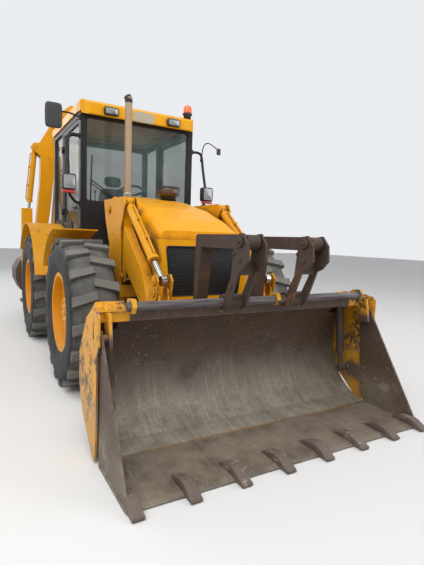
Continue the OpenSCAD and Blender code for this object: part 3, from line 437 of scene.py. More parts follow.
# %% Painted steel
DUST_COLOUR = (0.3, 0.255, 0.2)
RUST_COLOUR = (0.085, 0.036, 0.018)
# The colour of grease and of painted shade in corners.
GRIME_AND_SHADE_COLOUR = (0.035, 0.026, 0.018)


def shade(colour, by):
    """A colour made darker or lighter."""
    return tuple(min(1, by * c) for c in colour)


def painted(name, colour, gloss=0.38, dust=0.55, wear=0.8, chip_level=0.68, top=1.5, under=RUST_COLOUR,
            grain=0.05, grime_and_shade=0.75):
    """Paint of one colour over steel, with drift, chips, worn edges, grime with painted shade in corners and
    dust up to the height top.
    """
    w = material(name)
    paint = w.mix(w.spots(1.3, 0.3, 0.7, 3.0), shade(colour, 0.88), shade(colour, 1.07))
    worn = w.larger(w.use(EDGES, amount=wear), w.use(CHIPS, level=chip_level))
    bare = w.mix(w.noise(40.0), under, shade(under, 2.2))
    # Corners turn towards a near black brown: painted shade, together with grease.
    steel = w.mix(w.use(GRIME_AND_SHADE, amount=grime_and_shade), w.mix(worn, paint, bare), GRIME_AND_SHADE_COLOUR)
    dusty = w.use(DUST, top=top, amount=dust)
    patch = w.remap(w.noise(7.0, 5.0), 0.3, 0.7, gloss - 0.07, gloss + 0.1)
    peel = w.plus(w.noise(260.0, 2.0), w.times(w.noise(3.0, 2.0), 2.0))
    return finish(w, Base_Color=w.mix(dusty, steel, DUST_COLOUR), Specular_IOR_Level=0.2,
                  Roughness=w.plus(patch, w.times(w.larger(dusty, worn), 0.45), clamp=True),
                  Normal=w.bump(w.minus(peel, w.times(worn, 1.5)), grain, 0.004))


YELLOW = painted("yellow paint", (0.73, 0.315, 0.004), wear=1.0, chip_level=0.61, dust=0.3)
HOOD_YELLOW = painted("clean yellow paint", (0.79, 0.35, 0.004), gloss=0.3, dust=0.08, wear=0.4,
                      chip_level=0.72)
RIM_YELLOW = painted("wheel paint", (0.78, 0.32, 0.005), gloss=0.42, dust=0.4, wear=0.5, top=1.0)
BLACK = painted("black paint", (0.018, 0.018, 0.02), gloss=0.42, dust=0.25, wear=0.25, chip_level=0.78)
DARK_STEEL = painted("dark chassis steel", (0.035, 0.033, 0.032), gloss=0.6, dust=0.85, wear=0.3, top=1.7)
BROWN_STEEL = painted("brown fork steel", (0.058, 0.038, 0.031), gloss=0.48, dust=0.3, wear=0.9,
                      chip_level=0.53, under=(0.115, 0.045, 0.022), grain=0.3)
TOOTH_STEEL = painted("worn tooth steel", (0.125, 0.092, 0.076), dust=0.15, wear=1.0, chip_level=0.57,
                      under=(0.2, 0.165, 0.14), grain=0.3, grime_and_shade=0.2)
print("painted finishes ready")

# %% [markdown]
# A bucket is painted once and then scoured for years. The lower part of its back is bare beige grey
# steel with soft strokes of scratches, and higher up it rusts to a granular brown. The strokes are
# noise squeezed along one direction, and the grain of the rust is a fine noise with hard peaks.

# %% Scoured steel
SCRATCH_COLOUR = (0.4, 0.365, 0.31)
EARTH_COLOUR = (0.33, 0.28, 0.2)


def scoured(name, grey_to=0.2, brown_from=0.5, dark=(0.19, 0.165, 0.128), light=(0.4, 0.365, 0.295)):
    """Bare steel that turns from scratched grey low down to rust brown high up."""
    w = material(name)
    wander = w.times(w.minus(w.noise(2.0, 7.0, 0.7), 0.5), 0.8)
    level = w.remap(w.plus(w.axes(w.place)[2], wander), grey_to, brown_from)
    strokes = w.noise(1.0, 8.0, 0.8, w.vector("MULTIPLY", w.place, (26.0, 1.4, 1.4)))
    spread = w.noise(4.0, 7.0, 0.75)
    fine = w.noise(55.0, 8.0, 0.85)
    both = w.plus(w.times(strokes, 0.4), w.times(spread, 0.6))
    grey = w.mix(w.remap(both, 0.42, 0.58), dark, light)
    grey = w.mix(w.times(w.remap(fine, 0.42, 0.66), 0.55), grey, (0.11, 0.08, 0.055))
    brown = w.mix(w.remap(fine, 0.38, 0.66), (0.042, 0.024, 0.015), (0.175, 0.103, 0.066))
    old_brown = w.mix(fine, (0.05, 0.034, 0.028), (0.1, 0.068, 0.052))
    base = w.mix(level, grey, w.mix(w.remap(spread, 0.4, 0.62), brown, old_brown))
    scratches = w.times(w.remap(strokes, 0.6, 0.66), w.remap(spread, 0.45, 0.55))
    marks = w.larger(w.use(CHIPS, scale=30.0, level=0.6), scratches)
    marks = w.times(marks, w.remap(level, 0.0, 1.0, 0.75, 0.4))
    marks = w.larger(marks, w.times(w.use(EDGES, reach=0.01), 0.7))
    base = w.mix(marks, base, SCRATCH_COLOUR)
    dusty = w.use(DUST, top=0.4, amount=0.4)
    finish(w, Base_Color=w.mix(dusty, base, EARTH_COLOUR), Specular_IOR_Level=0.35,
           Metallic=w.times(w.remap(level, 1.0, 0.0), 0.2), Roughness=w.remap(fine, 0.3, 0.7, 0.66, 0.46),
           Normal=w.bump(w.plus(w.times(strokes, 0.3), fine), 0.35, 0.003))
    return w, base


SCOURED = scoured("scoured bucket steel")[0].made
FLOOR_STEEL = scoured("bucket floor steel", -0.1, 0.28, (0.07, 0.053, 0.041), (0.19, 0.155, 0.125))[0].made

# %% [markdown]
# The loader bucket's back is one steel shell with two faces: its inside is scoured by earth, and its
# outside and its top corners are still yellow. The inside is where the surface faces the middle of
# the curve it is rolled to. The rail and the pockets at the ends, which hold the clam's rams, are bare.

# %% Two-sided bucket
CURVE_Y, CURVE_Z, POCKET_REACH = at(0, -1.71, 0)[1], 0.495, 0.59
RAIL_Y, RAIL_Z, RAIL_R = at(0, -1.67, 0)[1], 1.0, 0.034
POCKET_IN, POCKET_OUT, POCKET_TOP = 0.975, 1.2, 0.8

w, base = scoured("bucket shell")
x, y, z = w.axes(w.place)
side = w.math("ABSOLUTE", x)
to_middle, from_rail = (w.node("CombineXYZ", {1: w.minus(middle_y, y), 2: w.minus(middle_z, z)})
                        for middle_y, middle_z in ((CURVE_Y, CURVE_Z), (RAIL_Y, RAIL_Z)))
outside = w.remap(w.vector("DOT_PRODUCT", to_middle, w.facing, output=1), 0.08, 0.02)
corner = w.times(w.remap(side, 0.985, 1.0), w.remap(z, 0.8, 0.86))
rail = w.remap(w.vector("LENGTH", from_rail, output=1), RAIL_R + 0.002, RAIL_R)
reach = w.vector("LENGTH", to_middle, output=1)
pocket = w.times(w.remap(reach, POCKET_REACH, POCKET_REACH - 0.005),
                 w.remap(z, POCKET_TOP + 0.06, POCKET_TOP))
for edge, soft in ((POCKET_IN, 0.005), (POCKET_OUT, -0.005)):
    pocket = w.times(pocket, w.remap(side, edge, edge + soft))
yellow = w.minus(w.larger(outside, corner, clamp=True), w.larger(rail, pocket), clamp=True)
worn = w.larger(w.use(EDGES, amount=1.0, reach=0.012), w.use(CHIPS, scale=14.0, level=0.55))
rubbed = w.times(w.spots(3.2, 0.48, 0.56, 7.0, 0.75), w.spots(24.0, 0.42, 0.52, 6.0))
left = w.times(yellow, w.minus(1.0, w.larger(worn, rubbed)), clamp=True)
paint = w.mix(w.noise(2.0), (0.6, 0.26, 0.012), (0.8, 0.38, 0.012))
drawn = w.vector("MULTIPLY", w.place, (3.0, 40.0, 40.0))
steel = w.mix(w.spots(1.0, 0.35, 0.65, 5.0, 0.6, drawn), (0.05, 0.038, 0.04), (0.165, 0.145, 0.145))
dusty = w.times(w.use(DUST, top=0.9, amount=0.5), 0.5)
BUCKET_SHELL = finish(w, Base_Color=w.mix(dusty, w.mix(left, w.mix(rail, base, steel), paint), DUST_COLOUR),
                      Roughness=w.remap(left, 0.0, 1.0, 0.56, 0.42))

# %% [markdown]
# ## Rubber, glass, chrome, plastic and cloth
#
# Tyres are never black: the tread is grey with dried mud and the wall is darker. The distance from
# the axle tells tread from wall, so one way of making the rubber serves the whole tyre.

# %% Tyre rubber
def tyre_rubber(name, hub):
    """Rubber that greys from the bead to the lugs, with mud between them and fine rings on the wall."""
    w = material(name)
    spoke = w.vector("MULTIPLY", w.vector("SUBTRACT", w.place, tuple(map(float, hub))), (0, 1, 1))
    reach = w.vector("LENGTH", spoke, output=1)
    tread = w.remap(w.plus(reach, w.times(w.noise(6.0), 0.04)), 0.64, 0.715)
    patches = w.spots(9.0, 0.4, 0.68, 6.0, 0.7)
    dry = w.plus(w.times(tread, 0.75), w.times(patches, 0.22), clamp=True)
    rings = w.times(w.math("SINE", w.times(reach, 330.0)), w.remap(reach, 0.6, 0.52))
    rough = w.plus(w.noise(60.0, 5.0, 0.7), w.times(rings, 0.35))
    colour = w.mix(dry, (0.013, 0.013, 0.013), (0.19, 0.185, 0.165))
    return finish(w, Base_Color=colour, Specular_IOR_Level=0.25, Roughness=w.remap(dry, 0.0, 1.0, 0.62, 0.92),
                  Normal=w.bump(rough, 0.35, 0.004))


# %% Clear and shiny finishes
def plain(name, colour, roughness, metallic=0.0, **sockets):
    """A finish whose numbers are set on the shader, with a fine uneven surface."""
    w = material(name)
    smear = w.noise(14.0)
    return finish(w, Base_Color=w.mix(smear, shade(colour, 0.85), colour), Metallic=metallic,
                  Roughness=w.remap(smear, 0.3, 0.7, roughness * 0.7, roughness * 1.3),
                  Normal=w.bump(w.noise(90.0, 3.0), 0.04, 0.002), **sockets)


CHROME = plain("chrome rod", (0.62, 0.62, 0.62), 0.14, 1.0)
MIRROR = plain("mirror face", (0.6, 0.62, 0.64), 0.05, 1.0)
LENS = plain("clear lens", (0.3, 0.31, 0.31), 0.1, 0.35, Coat_Weight=0.8)
AMBER = plain("amber lens", (0.85, 0.13, 0.008), 0.2, Coat_Weight=0.5)
RED = plain("red lens", (0.45, 0.02, 0.015), 0.2, Coat_Weight=0.5)
RUBBER = plain("black rubber", (0.022, 0.022, 0.022), 0.72)
PLASTIC = plain("black plastic", (0.026, 0.026, 0.027), 0.5)
GREY_PLASTIC = plain("grey trim plastic", (0.075, 0.075, 0.078), 0.62)
BOLT_STEEL = plain("plated bolt", (0.33, 0.31, 0.27), 0.42, 0.8)
TAN_TUBE = plain("heat browned tube", (0.4, 0.275, 0.165), 0.55, 0.35)
BLANK_PLATE = plain("blank pale plate", (0.42, 0.38, 0.28), 0.55)
SLEEVE_STEEL = plain("bare sleeve steel", (0.46, 0.44, 0.41), 0.38, 0.75)
SOOT = plain("sooted steel", (0.02, 0.019, 0.018), 0.75)
BOWL_BROWN = plain("brown bowl", (0.085, 0.045, 0.022), 0.25, Coat_Weight=0.3)

# %% Tinted safety glass, a see-through pane under a patchy film of dust
w = material("window glass")
film = w.spots(3.0, 0.35, 0.75, 5.0)
tint = w.mix(w.times(film, 0.35), (0.04, 0.085, 0.078), (0.33, 0.39, 0.37))
WINDOW = finish(w, Base_Color=tint, Specular_IOR_Level=0.7, Alpha=w.remap(film, 0.0, 1.0, 0.3, 0.4),
                Roughness=w.remap(film, 0.0, 1.0, 0.02, 0.09))

# %% [markdown]
# The seat is covered in a coarse grey cloth. Its threads are two sets of waves at right angles that
# take turns being on top, which is what a checker of the two directions gives.

# %% Woven cloth
def wire_weave(w, scale):
    x, y, z = w.axes(w.node("VectorMath", {0: w.place, "Scale": scale}, operation="SCALE"))
    return w.times(w.math("SINE", x), w.math("SINE", w.plus(y, z)))


WEAVE = effect("weave", "height", wire_weave, scale=1500.0)

# %% Seat cloth, with its weave as bump, a soft sheen and faint stains
CLOTH_COLOUR = (0.115, 0.115, 0.125)
w = material("grey seat cloth")
weave = w.use(WEAVE)
base = w.mix(w.remap(weave, -1.0, 1.0), shade(CLOTH_COLOUR, 0.6), CLOTH_COLOUR)
stained = w.mix(w.times(w.spots(8.0, 0.35, 0.7, 5.0), 0.3), base, DUST_COLOUR)
SEAT_CLOTH = finish(w, Base_Color=stained, Roughness=0.9, Sheen_Weight=0.35, Sheen_Roughness=0.5,
                    Normal=w.bump(weave, 0.5, 0.001))

# %% [markdown]
# ## Dressing the steelwork
#
# A CAD node whose shape is right only gets a finish. The tables say which, by whole name and then by
# how a name begins. Rods of rams are chrome, and whatever no table names is yellow.

# %% A finish for each node
BY_NAME = {DARK_STEEL: "drive_line leg_left leg_right", PLASTIC: "grille lamps", TAN_TUBE: "exhaust",
           BLACK: "cab_frame door_left door_right", GREY_PLASTIC: "cab_interior",
           HOOD_YELLOW: "hood nose_panel cab_roof", WINDOW: "cab_glass door_glass_left door_glass_right",
           BUCKET_SHELL: "bucket_back", FLOOR_STEEL: "bucket_clam", BROWN_STEEL: "fork_arms fork_tines",
           SCOURED: "digging_bucket", SEAT_CLOTH: "seat_pads"}
BY_START = {"knuckle": DARK_STEEL, "rim": RIM_YELLOW, "clam_": BROWN_STEEL}


def node_finish(name):
    """The finish that the tables give a node. Each tyre has its own rubber, centred on its hub."""
    for coat, names in BY_NAME.items():
        if name in names.split():
            return coat
    for start, coat in BY_START.items():
        if name.startswith(start):
            return coat
    if name.startswith("tyre"):
        return tyre_rubber("rubber of " + name.replace("_", " "), middle(name))
    return CHROME if name.endswith(("_rod", "_rods")) else YELLOW


for name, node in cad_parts.items():
    dress(node, node_finish(name))
print(len(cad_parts), "nodes dressed")


def settle(piece, coat, body):
    """Finishes a piece and lets it ride on a body."""
    dress(piece, coat)
    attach(piece, body)
    return piece


def fit(name, parts, coat, body="machine", smooth=True):
    """Joins the parts of a new piece, finishes it and lets it ride on a body."""
    return settle(joined(name, parts, smooth), coat, body)

# %% [markdown]
# ## The driver's seat
#
# A seat cushion is foam under cloth: it crowns in the middle, and its sides pull in between the
# corners. A closed shape blown up by Blender's Cloth gives just that. It starts smaller than the foam,
# gets an even net from a voxel remesh, and is inflated for 20 frames with gravity off, each point no
# further than a set distance. The sewn channels come last, because the remesh would erase them.

# %% Inflating a cushion
def points_of(piece):
    """A piece's points as an array."""
    flat = np.empty(3 * len(piece.data.vertices))
    piece.data.vertices.foreach_get("co", flat)
    return flat.reshape(-1, 3)


def move_points(piece, points):
    """Puts a piece's points at new places."""
    piece.data.vertices.foreach_set("co", points.ravel())
    piece.data.update()


def evaluated(piece):
    """The piece as its modifiers leave it."""
    return piece.evaluated_get(bpy.context.evaluated_depsgraph_get())


def even_net(piece, step):
    """Remeshes a closed piece to small even faces."""
    remesh = piece.modifiers.new("net", "REMESH")
    remesh.mode = "VOXEL"
    remesh.voxel_size = step
    made = bpy.data.meshes.new_from_object(evaluated(piece))
    piece.modifiers.clear()
    piece.data = made


def inflated(piece, pressure, most, frames=20):
    """Runs Cloth with inner pressure. Each point's move is cut to the length most."""
    start = points_of(piece)
    cloth = piece.modifiers.new("cloth", "CLOTH")
    cloth.settings.use_pressure = True
    cloth.settings.uniform_pressure_force = pressure
    cloth.settings.effector_weights.gravity = 0
    cloth.settings.quality = 4
    for step in range(1, frames + 1):
        bpy.context.scene.frame_set(step)
    move = points_of(evaluated(piece)) - start
    piece.modifiers.clear()
    length = np.linalg.norm(move, axis=1, keepdims=True)
    move_points(piece, start + move * np.minimum(1, most / np.maximum(length, 1e-9)))
    bpy.context.scene.frame_set(1)
    print(piece.name, "grew by up to", round(float(length.max() * 1000)), "mm, kept to", round(most * 1000))


def channels(piece, grooves, depth, width=0.006):
    """Presses grooves into a piece at the given x. At a distance d from a groove the surface sinks
    towards the piece's middle by depth times the bell curve exp(-(d / width)^2)."""
    points = points_of(piece)
    inward = unit((points.max(axis=0) + points.min(axis=0)) / 2 - points)
    sink = np.zeros(len(points))
    for x in grooves:
        sink = np.maximum(sink, np.exp(-((points[:, 0] - x) / width) ** 2))
    move_points(piece, points + inward * (depth * sink)[:, None])


# %% Cushion, backrest and headrest
NET_STEP, PRESSURE, MOST_GROWTH, CHANNEL_DEPTH = 0.007, 4.0, 0.01, 0.01
SEAT_LEAN, CHANNELS = 12, (-0.13, 0.13)


def seat_part(name, centre, size, lean, grooves, power=5):
    """A stuffed seat piece: a soft box on a fine net, inflated, with its channels sewn in."""
    piece = joined(name, [soft_box(centre, size, power, 64, 40, lean)])
    even_net(piece, NET_STEP)
    inflated(piece, PRESSURE, MOST_GROWTH)
    channels(piece, grooves, CHANNEL_DEPTH)
    piece.data.polygons.foreach_set("use_smooth", np.ones(len(piece.data.polygons), bool))
    smoother = piece.modifiers.new("smooth", "SUBSURF")
    smoother.levels = smoother.render_levels = 1
    settle(piece, SEAT_CLOTH, "machine")
    return piece


cushion = seat_part("seat_cushion", at(0, 1.725, 1.462), (0.455, 0.475, 0.108), 0, CHANNELS)
seat_part("seat_backrest", at(0, 1.998, 1.832), (0.445, 0.1, 0.6), SEAT_LEAN, CHANNELS)
seat_part("seat_headrest", at(0, 2.083, 2.222), (0.245, 0.06, 0.155), SEAT_LEAN, (), power=3.5)
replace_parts(cushion, "seat_pads")

# %% [markdown]
# ## Lamps, beacon and mirrors
#
# Each lamp is a soft-cornered black shell with a bezel and a clear ribbed lens. The shells replace the
# CAD node's plain blocks at the same places: two on the visor, two at the roof's rear edge, and the
# headlamps in pods at the cab's front posts.

# %% Lamp shells and lenses
LAMP_X, REAR_LAMP_X, LAMP_Z = 0.394, 0.5, 2.865
LAMP_DEPTH, LAMP_SUNK = 0.045, 0.004
LAMP_SIZE = (0.168, 0.084, LAMP_DEPTH)
VISOR_Y, ROOF_BACK_Y = 0.87, 2.65
POD_X, POD_Y, POD_Z = 0.88, 0.83, 2.02
POD_SIZE = (0.15, 0.18, 0.1)
BEZEL_R, RIB_HEIGHT, RIB_TURNS = 0.006, 0.0012, 40


def lamp_parts(centre, size, facing=-1):
    """A lamp that looks towards -Y, or +Y with facing 1: its shell with its bezel, and its lens. The lens
    swells by (1 - u^2)(1 - v^2) and is ribbed by a cosine across it."""
    cx, cy, cz = centre
    width, height, depth = size
    front = cy + facing * depth / 2
    edge = np.linspace(0, 2 * np.pi, 41)
    bezel = np.stack([cx + width * 0.44 * curl(np.cos(edge), 8), np.full(41, front),
                      cz + height * 0.43 * curl(np.sin(edge), 8)], -1)
    shell = [soft_box(centre, (width, depth, height), 9, 28, 14), tube(bezel, BEZEL_R, 8)]
    u, v = np.meshgrid(np.linspace(-1, 1, 25), np.linspace(-1, 1, 15), indexing="ij")
    swell = 0.003 + 0.01 * (1 - u ** 2) * (1 - v ** 2) + RIB_HEIGHT * np.cos(u * RIB_TURNS)
    lens = np.stack([cx - facing * width * 0.42 * u, front + facing * swell, cz + height * 0.41 * v], -1)
    return shell, (lens.reshape(-1, 3), grid_faces(25, 15, wrap=False))


shells, lenses = [], []
for s in (-1, 1):
    for centre, size, facing in (
            (at(s * LAMP_X, VISOR_Y - LAMP_DEPTH / 2 + LAMP_SUNK, LAMP_Z), LAMP_SIZE, -1),
            (at(s * REAR_LAMP_X, ROOF_BACK_Y + LAMP_DEPTH / 2 - LAMP_SUNK, LAMP_Z + 0.03), LAMP_SIZE, 1),
            (at(s * POD_X, POD_Y, POD_Z), POD_SIZE, -1)):
        shell, lens = lamp_parts(centre, size, facing)
        shells += shell
        lenses.append(lens)
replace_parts(fit("lamp_shells", shells, PLASTIC), "lamps")
fit("lamp_lenses", lenses, LENS)

# %% [markdown]
# Each pod stands on a bent stalk under a hoop from the post above it. The left hoop carries a small
# mirror on a thin curved rod, the right post a large mirror on a short arm.

# %% Stalks, hoops and mirror arms
POST_X, BRACKET_X, BRACKET_SIZE = 0.732, 0.727, (0.022, 0.045, 0.06)
BRACKETS = [(-1, 1.8), (-1, 2.57), (1, 1.8), (1, 2.57), (-1, 2.78)]
STALK = [(POST_X, 0.98, 1.8), (0.8, 0.93, 1.83), (0.862, 0.86, 1.89), (POD_X, 0.842, 1.945)]
HOOP = [(POST_X, 0.975, 2.57), (0.81, 0.968, 2.57), (0.86, 0.962, 2.53), (0.872, 0.93, 2.35),
        (0.878, 0.86, 2.1)]
LEFT_ARM = [(0.864, 0.958, 2.49), (0.872, 0.956, 2.61), (0.905, 0.954, 2.69), (0.965, 0.953, 2.71),
            (1.04, 0.952, 2.68), (1.11, 0.952, 2.64)]
RIGHT_ARM = [(-POST_X, 0.98, 2.78), (-0.85, 0.96, 2.8), (-0.96, 0.915, 2.785), (-1.01, 0.9, 2.77)]

stalks = [rod(LEFT_ARM, 0.007, 8), rod(RIGHT_ARM, 0.01)]
for s, hoop_radius in ((-1, 0.022), (1, 0.017)):
    stalks += [rod(STALK, 0.016, 12, s), rod(HOOP, hoop_radius, 12, s),
               soft_box(at(s * 0.862, 0.96, 2.48), (0.036, 0.036, 0.05), 3)]
stalks += [soft_box(at(s * BRACKET_X, 0.982, z), BRACKET_SIZE, 8) for s, z in BRACKETS]
fit("lamp_stalks", stalks, BLACK)

# %% Mirrors
RIGHT_MIRROR, LEFT_MIRROR = at(-1.025, 0.895, 2.73), at(1.118, 0.951, 2.62)
fit("mirror_shells", [soft_box(RIGHT_MIRROR, (0.18, 0.04, 0.27), 6, 28, 18),
                      soft_box(LEFT_MIRROR, (0.062, 0.02, 0.088), 4, 20, 14)], PLASTIC)
fit("mirror_faces", [soft_box(RIGHT_MIRROR + (0, 0.019, 0), (0.158, 0.006, 0.248), 8, 28, 12),
                     soft_box(LEFT_MIRROR + (0, 0.0095, 0), (0.05, 0.004, 0.076), 6, 20, 10)],
    MIRROR)

# %% [markdown]
# The beacon is turned: a black foot with a lip and an amber dome with fine vertical flutes, which
# come from a small wave on the radius.

# %% Beacon
BEACON = at(0.66, 1.01, 3.03)
FLUTES, FLUTE_DEPTH = 15, 0.018
foot = [(0, -0.05), (0.048, -0.05), (0.048, 0), (0.06, 0.006), (0.063, 0.022), (0.058, 0.03), (0, 0.03)]
fit("beacon_foot", [lathe(foot, BEACON)], PLASTIC)
rise = np.linspace(0, 1, 15)
dome = np.stack([0.055 * (1 - rise ** 5) ** 0.5 + 0.001, 0.028 + 0.104 * rise], -1)
points, faces = lathe(dome, BEACON, sides=60)
spoke = points - BEACON
wave = 1 + FLUTE_DEPTH * np.cos(FLUTES * np.arctan2(spoke[:, 1], spoke[:, 0]))[:, None]
fit("beacon_dome", [(BEACON + spoke * np.where([True, True, False], wave, 1), faces)], AMBER)

# %% Red strips below the pods, rear lights and the visor's blank plate
REAR_LIGHT_SIZE = (0.1, 0.05, 0.05)
red, amber = [], []
for s in (-1, 1):
    red.append(soft_box(at(s * POD_X, 0.812, 1.913), (0.145, 0.06, 0.03), 8))
    red.append(soft_box(at(s * 0.6, 2.64, 1.47), REAR_LIGHT_SIZE, 8))
    amber.append(soft_box(at(s * 0.495, 2.64, 1.47), REAR_LIGHT_SIZE, 8))
fit("red_lenses", red, RED)
fit("amber_lenses", amber, AMBER)
plate = soft_box(at(0.01, VISOR_Y - 0.002, LAMP_Z), (0.27, 0.008, 0.118), 10)
fit("visor_plate", [plate], BLANK_PLATE)
print("lamps and mirrors fitted")

# %% [markdown]
# ## Exhaust and air cleaner
#
# The stack is browned by heat, its foot sits in a bright sleeve and its tip is a black elbow that
# leans back. The air cleaner is a mushroom of a black foot, a glossy brown bowl and a black cap.

# %% Exhaust tip and sleeve
STACK_X, STACK_Y, SLEEVE_Z = -0.28, 0.585, 1.838
TIP_R = 0.0415
elbow = [(STACK_X, STACK_Y, 2.915), (STACK_X, STACK_Y, 2.945), (-0.284, 0.589, 2.966), (-0.293, 0.597, 2.985)]
fit("exhaust_tip", [rod(elbow, TIP_R, 24)], SOOT)
sleeve = [(0.041, 0), (0.058, 0), (0.058, 0.008), (0.049, 0.016), (0.047, 0.07), (0.05, 0.074),
          (0.05, 0.086), (0.041, 0.09)]
foot = at(STACK_X, STACK_Y, SLEEVE_Z)
fit("exhaust_sleeve", [lathe(sleeve, foot, sides=32)], SLEEVE_STEEL)

# %% Air cleaner
CLEANER = at(0.215, 0.56, 0)
foot = [(0, 1.86), (0.089, 1.86), (0.089, 1.918), (0.116, 1.928), (0.116, 1.934), (0, 1.934)]
cap = [(0, 2.008), (0.134, 2.008), (0.137, 2.014), (0.134, 2.026), (0.11, 2.038), (0.04, 2.046), (0, 2.047)]
bowl = [(0.112, 1.922), (0.12, 1.93), (0.1325, 1.946), (0.1345, 1.96), (0.1345, 1.995), (0.1325, 2.01)]
fit("cleaner_black", [lathe(profile, CLEANER, sides=40) for profile in (foot, cap)], PLASTIC, "bonnet")
fit("cleaner_bowl", [lathe(bowl, CLEANER, sides=40)], BOWL_BROWN, "bonnet")

# %% [markdown]
# ## Grille
#
# Behind the nose's opening hangs a screen of crossed wires. Each is a four-sided bar whose ends follow
# the opening's slanted sides. A rubber edges the opening.

# %% Wire screen
GRILLE_Y, GRILLE_LOW, GRILLE_HIGH = -0.793, 0.925, 1.362
HALF_LOW, HALF_HIGH = 0.35, 0.4
WIRE_STEP, WIRE_R = 0.0135, 0.0016
SLANT = (HALF_HIGH - HALF_LOW) / (GRILLE_HIGH - GRILLE_LOW)

wires = []
for z in np.arange(GRILLE_LOW + 0.006, GRILLE_HIGH, WIRE_STEP):
    half = HALF_LOW + SLANT * (z - GRILLE_LOW)
    wires.append(tube([at(-half, GRILLE_Y, z), at(half, GRILLE_Y, z)], WIRE_R, 4))
for x in np.arange(-HALF_HIGH + 0.007, HALF_HIGH, WIRE_STEP):
    foot_z = GRILLE_LOW + max(0, abs(x) - HALF_LOW) / SLANT
    wires.append(tube([at(x, GRILLE_Y - 0.003, foot_z), at(x, GRILLE_Y - 0.003, GRILLE_HIGH)], WIRE_R, 4))
fit("grille_wires", wires, PLASTIC)


# %% A rubber round an outline
def round_loop(corners, radius, steps=6):
    """A closed outline through corners, each cut by a curve that starts and ends at radius from it: the
    curve (1 - t)^2 a + 2 t (1 - t) corner + t^2 b runs from one side to the next."""
    c = np.asarray(corners, float)
    a, b = (c + radius * unit(np.roll(c, step, axis=0) - c) for step in (1, -1))
    t = np.linspace(0, 1, steps)[None, :, None]
    return ((1 - t) ** 2 * a[:, None] + 2 * t * (1 - t) * c[:, None] + t ** 2 * b[:, None]).reshape(-1, 2)


def pane(half, low, high, middle=0.0, radius=0.05):
    """The outline of a pane that reaches half its width to each side of its middle."""
    left, right = middle - half, middle + half
    return round_loop([(left, low), (right, low), (right, high), (left, high)], radius)


def seal(loop, place, radius=0.009):
    """A rubber profile round an outline. place turns a point of the outline into a point in space. The
    section's axes are the plane's own direction and the direction away from the middle."""
    path = np.array([place(a, b) for a, b in loop])
    spoke = path - path.mean(axis=0)
    flat = unit(np.cross(spoke[0], spoke[len(path) // 4]))
    out = np.cross(unit(np.roll(path, -1, axis=0) - np.roll(path, 1, axis=0)), flat)
    around = angles(8)[None, :, None]
    points = path[:, None] + radius * (np.cos(around) * out[:, None] + np.sin(around) * flat)
    return points.reshape(-1, 3), grid_faces(len(path) + 1, 8) % (8 * len(path))


nose = round_loop([(-HALF_LOW, GRILLE_LOW), (HALF_LOW, GRILLE_LOW), (HALF_HIGH, GRILLE_HIGH),
                   (-HALF_HIGH, GRILLE_HIGH)], 0.03)
fit("grille_rim", [seal(nose, lambda x, z: at(x, -0.799, z), 0.005)], RUBBER)

# %% [markdown]
# ## Window rubbers, wiper and controls
#
# Every fixed pane sits in such a rubber too. The wiper rests at the right of the screen, seven levers
# stand by the seat, and each door has a bent handle on a plate.

# %% Window rubbers
SCREEN_Y, BACK_Y, SIDE_X = 0.978, 2.598, 0.698
PANE_HALF, PANE_TOP = 0.652, 2.792
SIDE_Y, SIDE_HALF = 2.285, 0.267
rubbers = [seal(pane(PANE_HALF, 1.838, PANE_TOP), lambda x, z: at(x, SCREEN_Y, z)),
           seal(pane(PANE_HALF, 1.498, PANE_TOP), lambda x, z: at(x, BACK_Y, z))]
for s in (-1, 1):
    rubbers.append(seal(pane(SIDE_HALF, 1.638, PANE_TOP, SIDE_Y, 0.04), lambda y, z: at(s * SIDE_X, y, z)))
fit("window_rubbers", rubbers, RUBBER)

# %% Wiper
WIPER = (([(-0.3, 0.966, 1.885), (-0.45, 0.956, 1.985), (-0.596, 0.96, 2.085)], 0.006, 8),
         ([(-0.33, 0.966, 1.872), (-0.47, 0.958, 1.962), (-0.6, 0.962, 2.05)], 0.005, 8),
         ([(-0.6, 0.966, 1.83), (-0.596, 0.966, 2.1), (-0.584, 0.966, 2.36)], 0.007, 8),
         ([(-0.599, 0.974, 1.815), (-0.583, 0.974, 2.375)], 0.004, 6))
wiper = [tube(places(path), radius, sides) for path, radius, sides in WIPER]
motor = soft_box(at(-0.315, 0.955, 1.868), (0.07, 0.04, 0.045), 4)
fit("wiper", wiper + [motor], BLACK)

# %% Levers in the cab and the door handles
LEVERS = [(x, 2.44, 1.8, 2.08) for x in (-0.16, -0.06, 0.06, 0.16)]
LEVERS += [(-0.4, 1.62, 1.56, 1.72), (-0.34, 1.62, 1.56, 1.7), (0.4, 1.6, 1.56, 1.7)]
HANDLE = [(0.73, 1.12, 1.745), (0.76, 1.13, 1.76), (0.76, 1.2, 1.76), (0.732, 1.215, 1.76)]

levers = [soft_box(at(0, 2.455, 1.8), (0.48, 0.11, 0.08), 8)]
for x, y, root, top in LEVERS:
    levers.append(rod([(x * 1.02, y + 0.03, root), (x, y + 0.01, top - 0.12), (x, y, top)], 0.008, 8))
    levers.append(soft_box(at(x, y, top + 0.018), (0.04, 0.04, 0.055), 2.4, 16))
fit("cab_levers", levers, PLASTIC)
for s, body in ((1, "left_door"), (-1, "right_door")):
    plate = soft_box(at(s * 0.736, 1.13, 1.76), (0.02, 0.11, 0.055))
    fit("handle_" + body, [plate, rod(HANDLE, 0.008, s=s)], PLASTIC, body)
print("cab fittings done")

# %% [markdown]
# ## Pins, bolts and nuts
#
# Every pivot ends in a round plate with a hexagon head, both turned about the pin's axis. The tables
# give each pin's body, its place and how far out its ends are.

# %% Pin ends
def pin_end(centre, axis, r):
    """A chamfered plate and a hexagon head, for a pin of radius r."""
    plate = [(0, 0), (1.35 * r, 0), (1.35 * r, 0.004), (1.2 * r, 0.007), (0, 0.007)]
    head = [(0, 0.006), (0.5 * r, 0.006), (0.5 * r, 0.014), (0.42 * r, 0.017), (0, 0.017)]
    return [lathe(plate, centre, axis, 28), lathe(head, centre, axis, 6)]


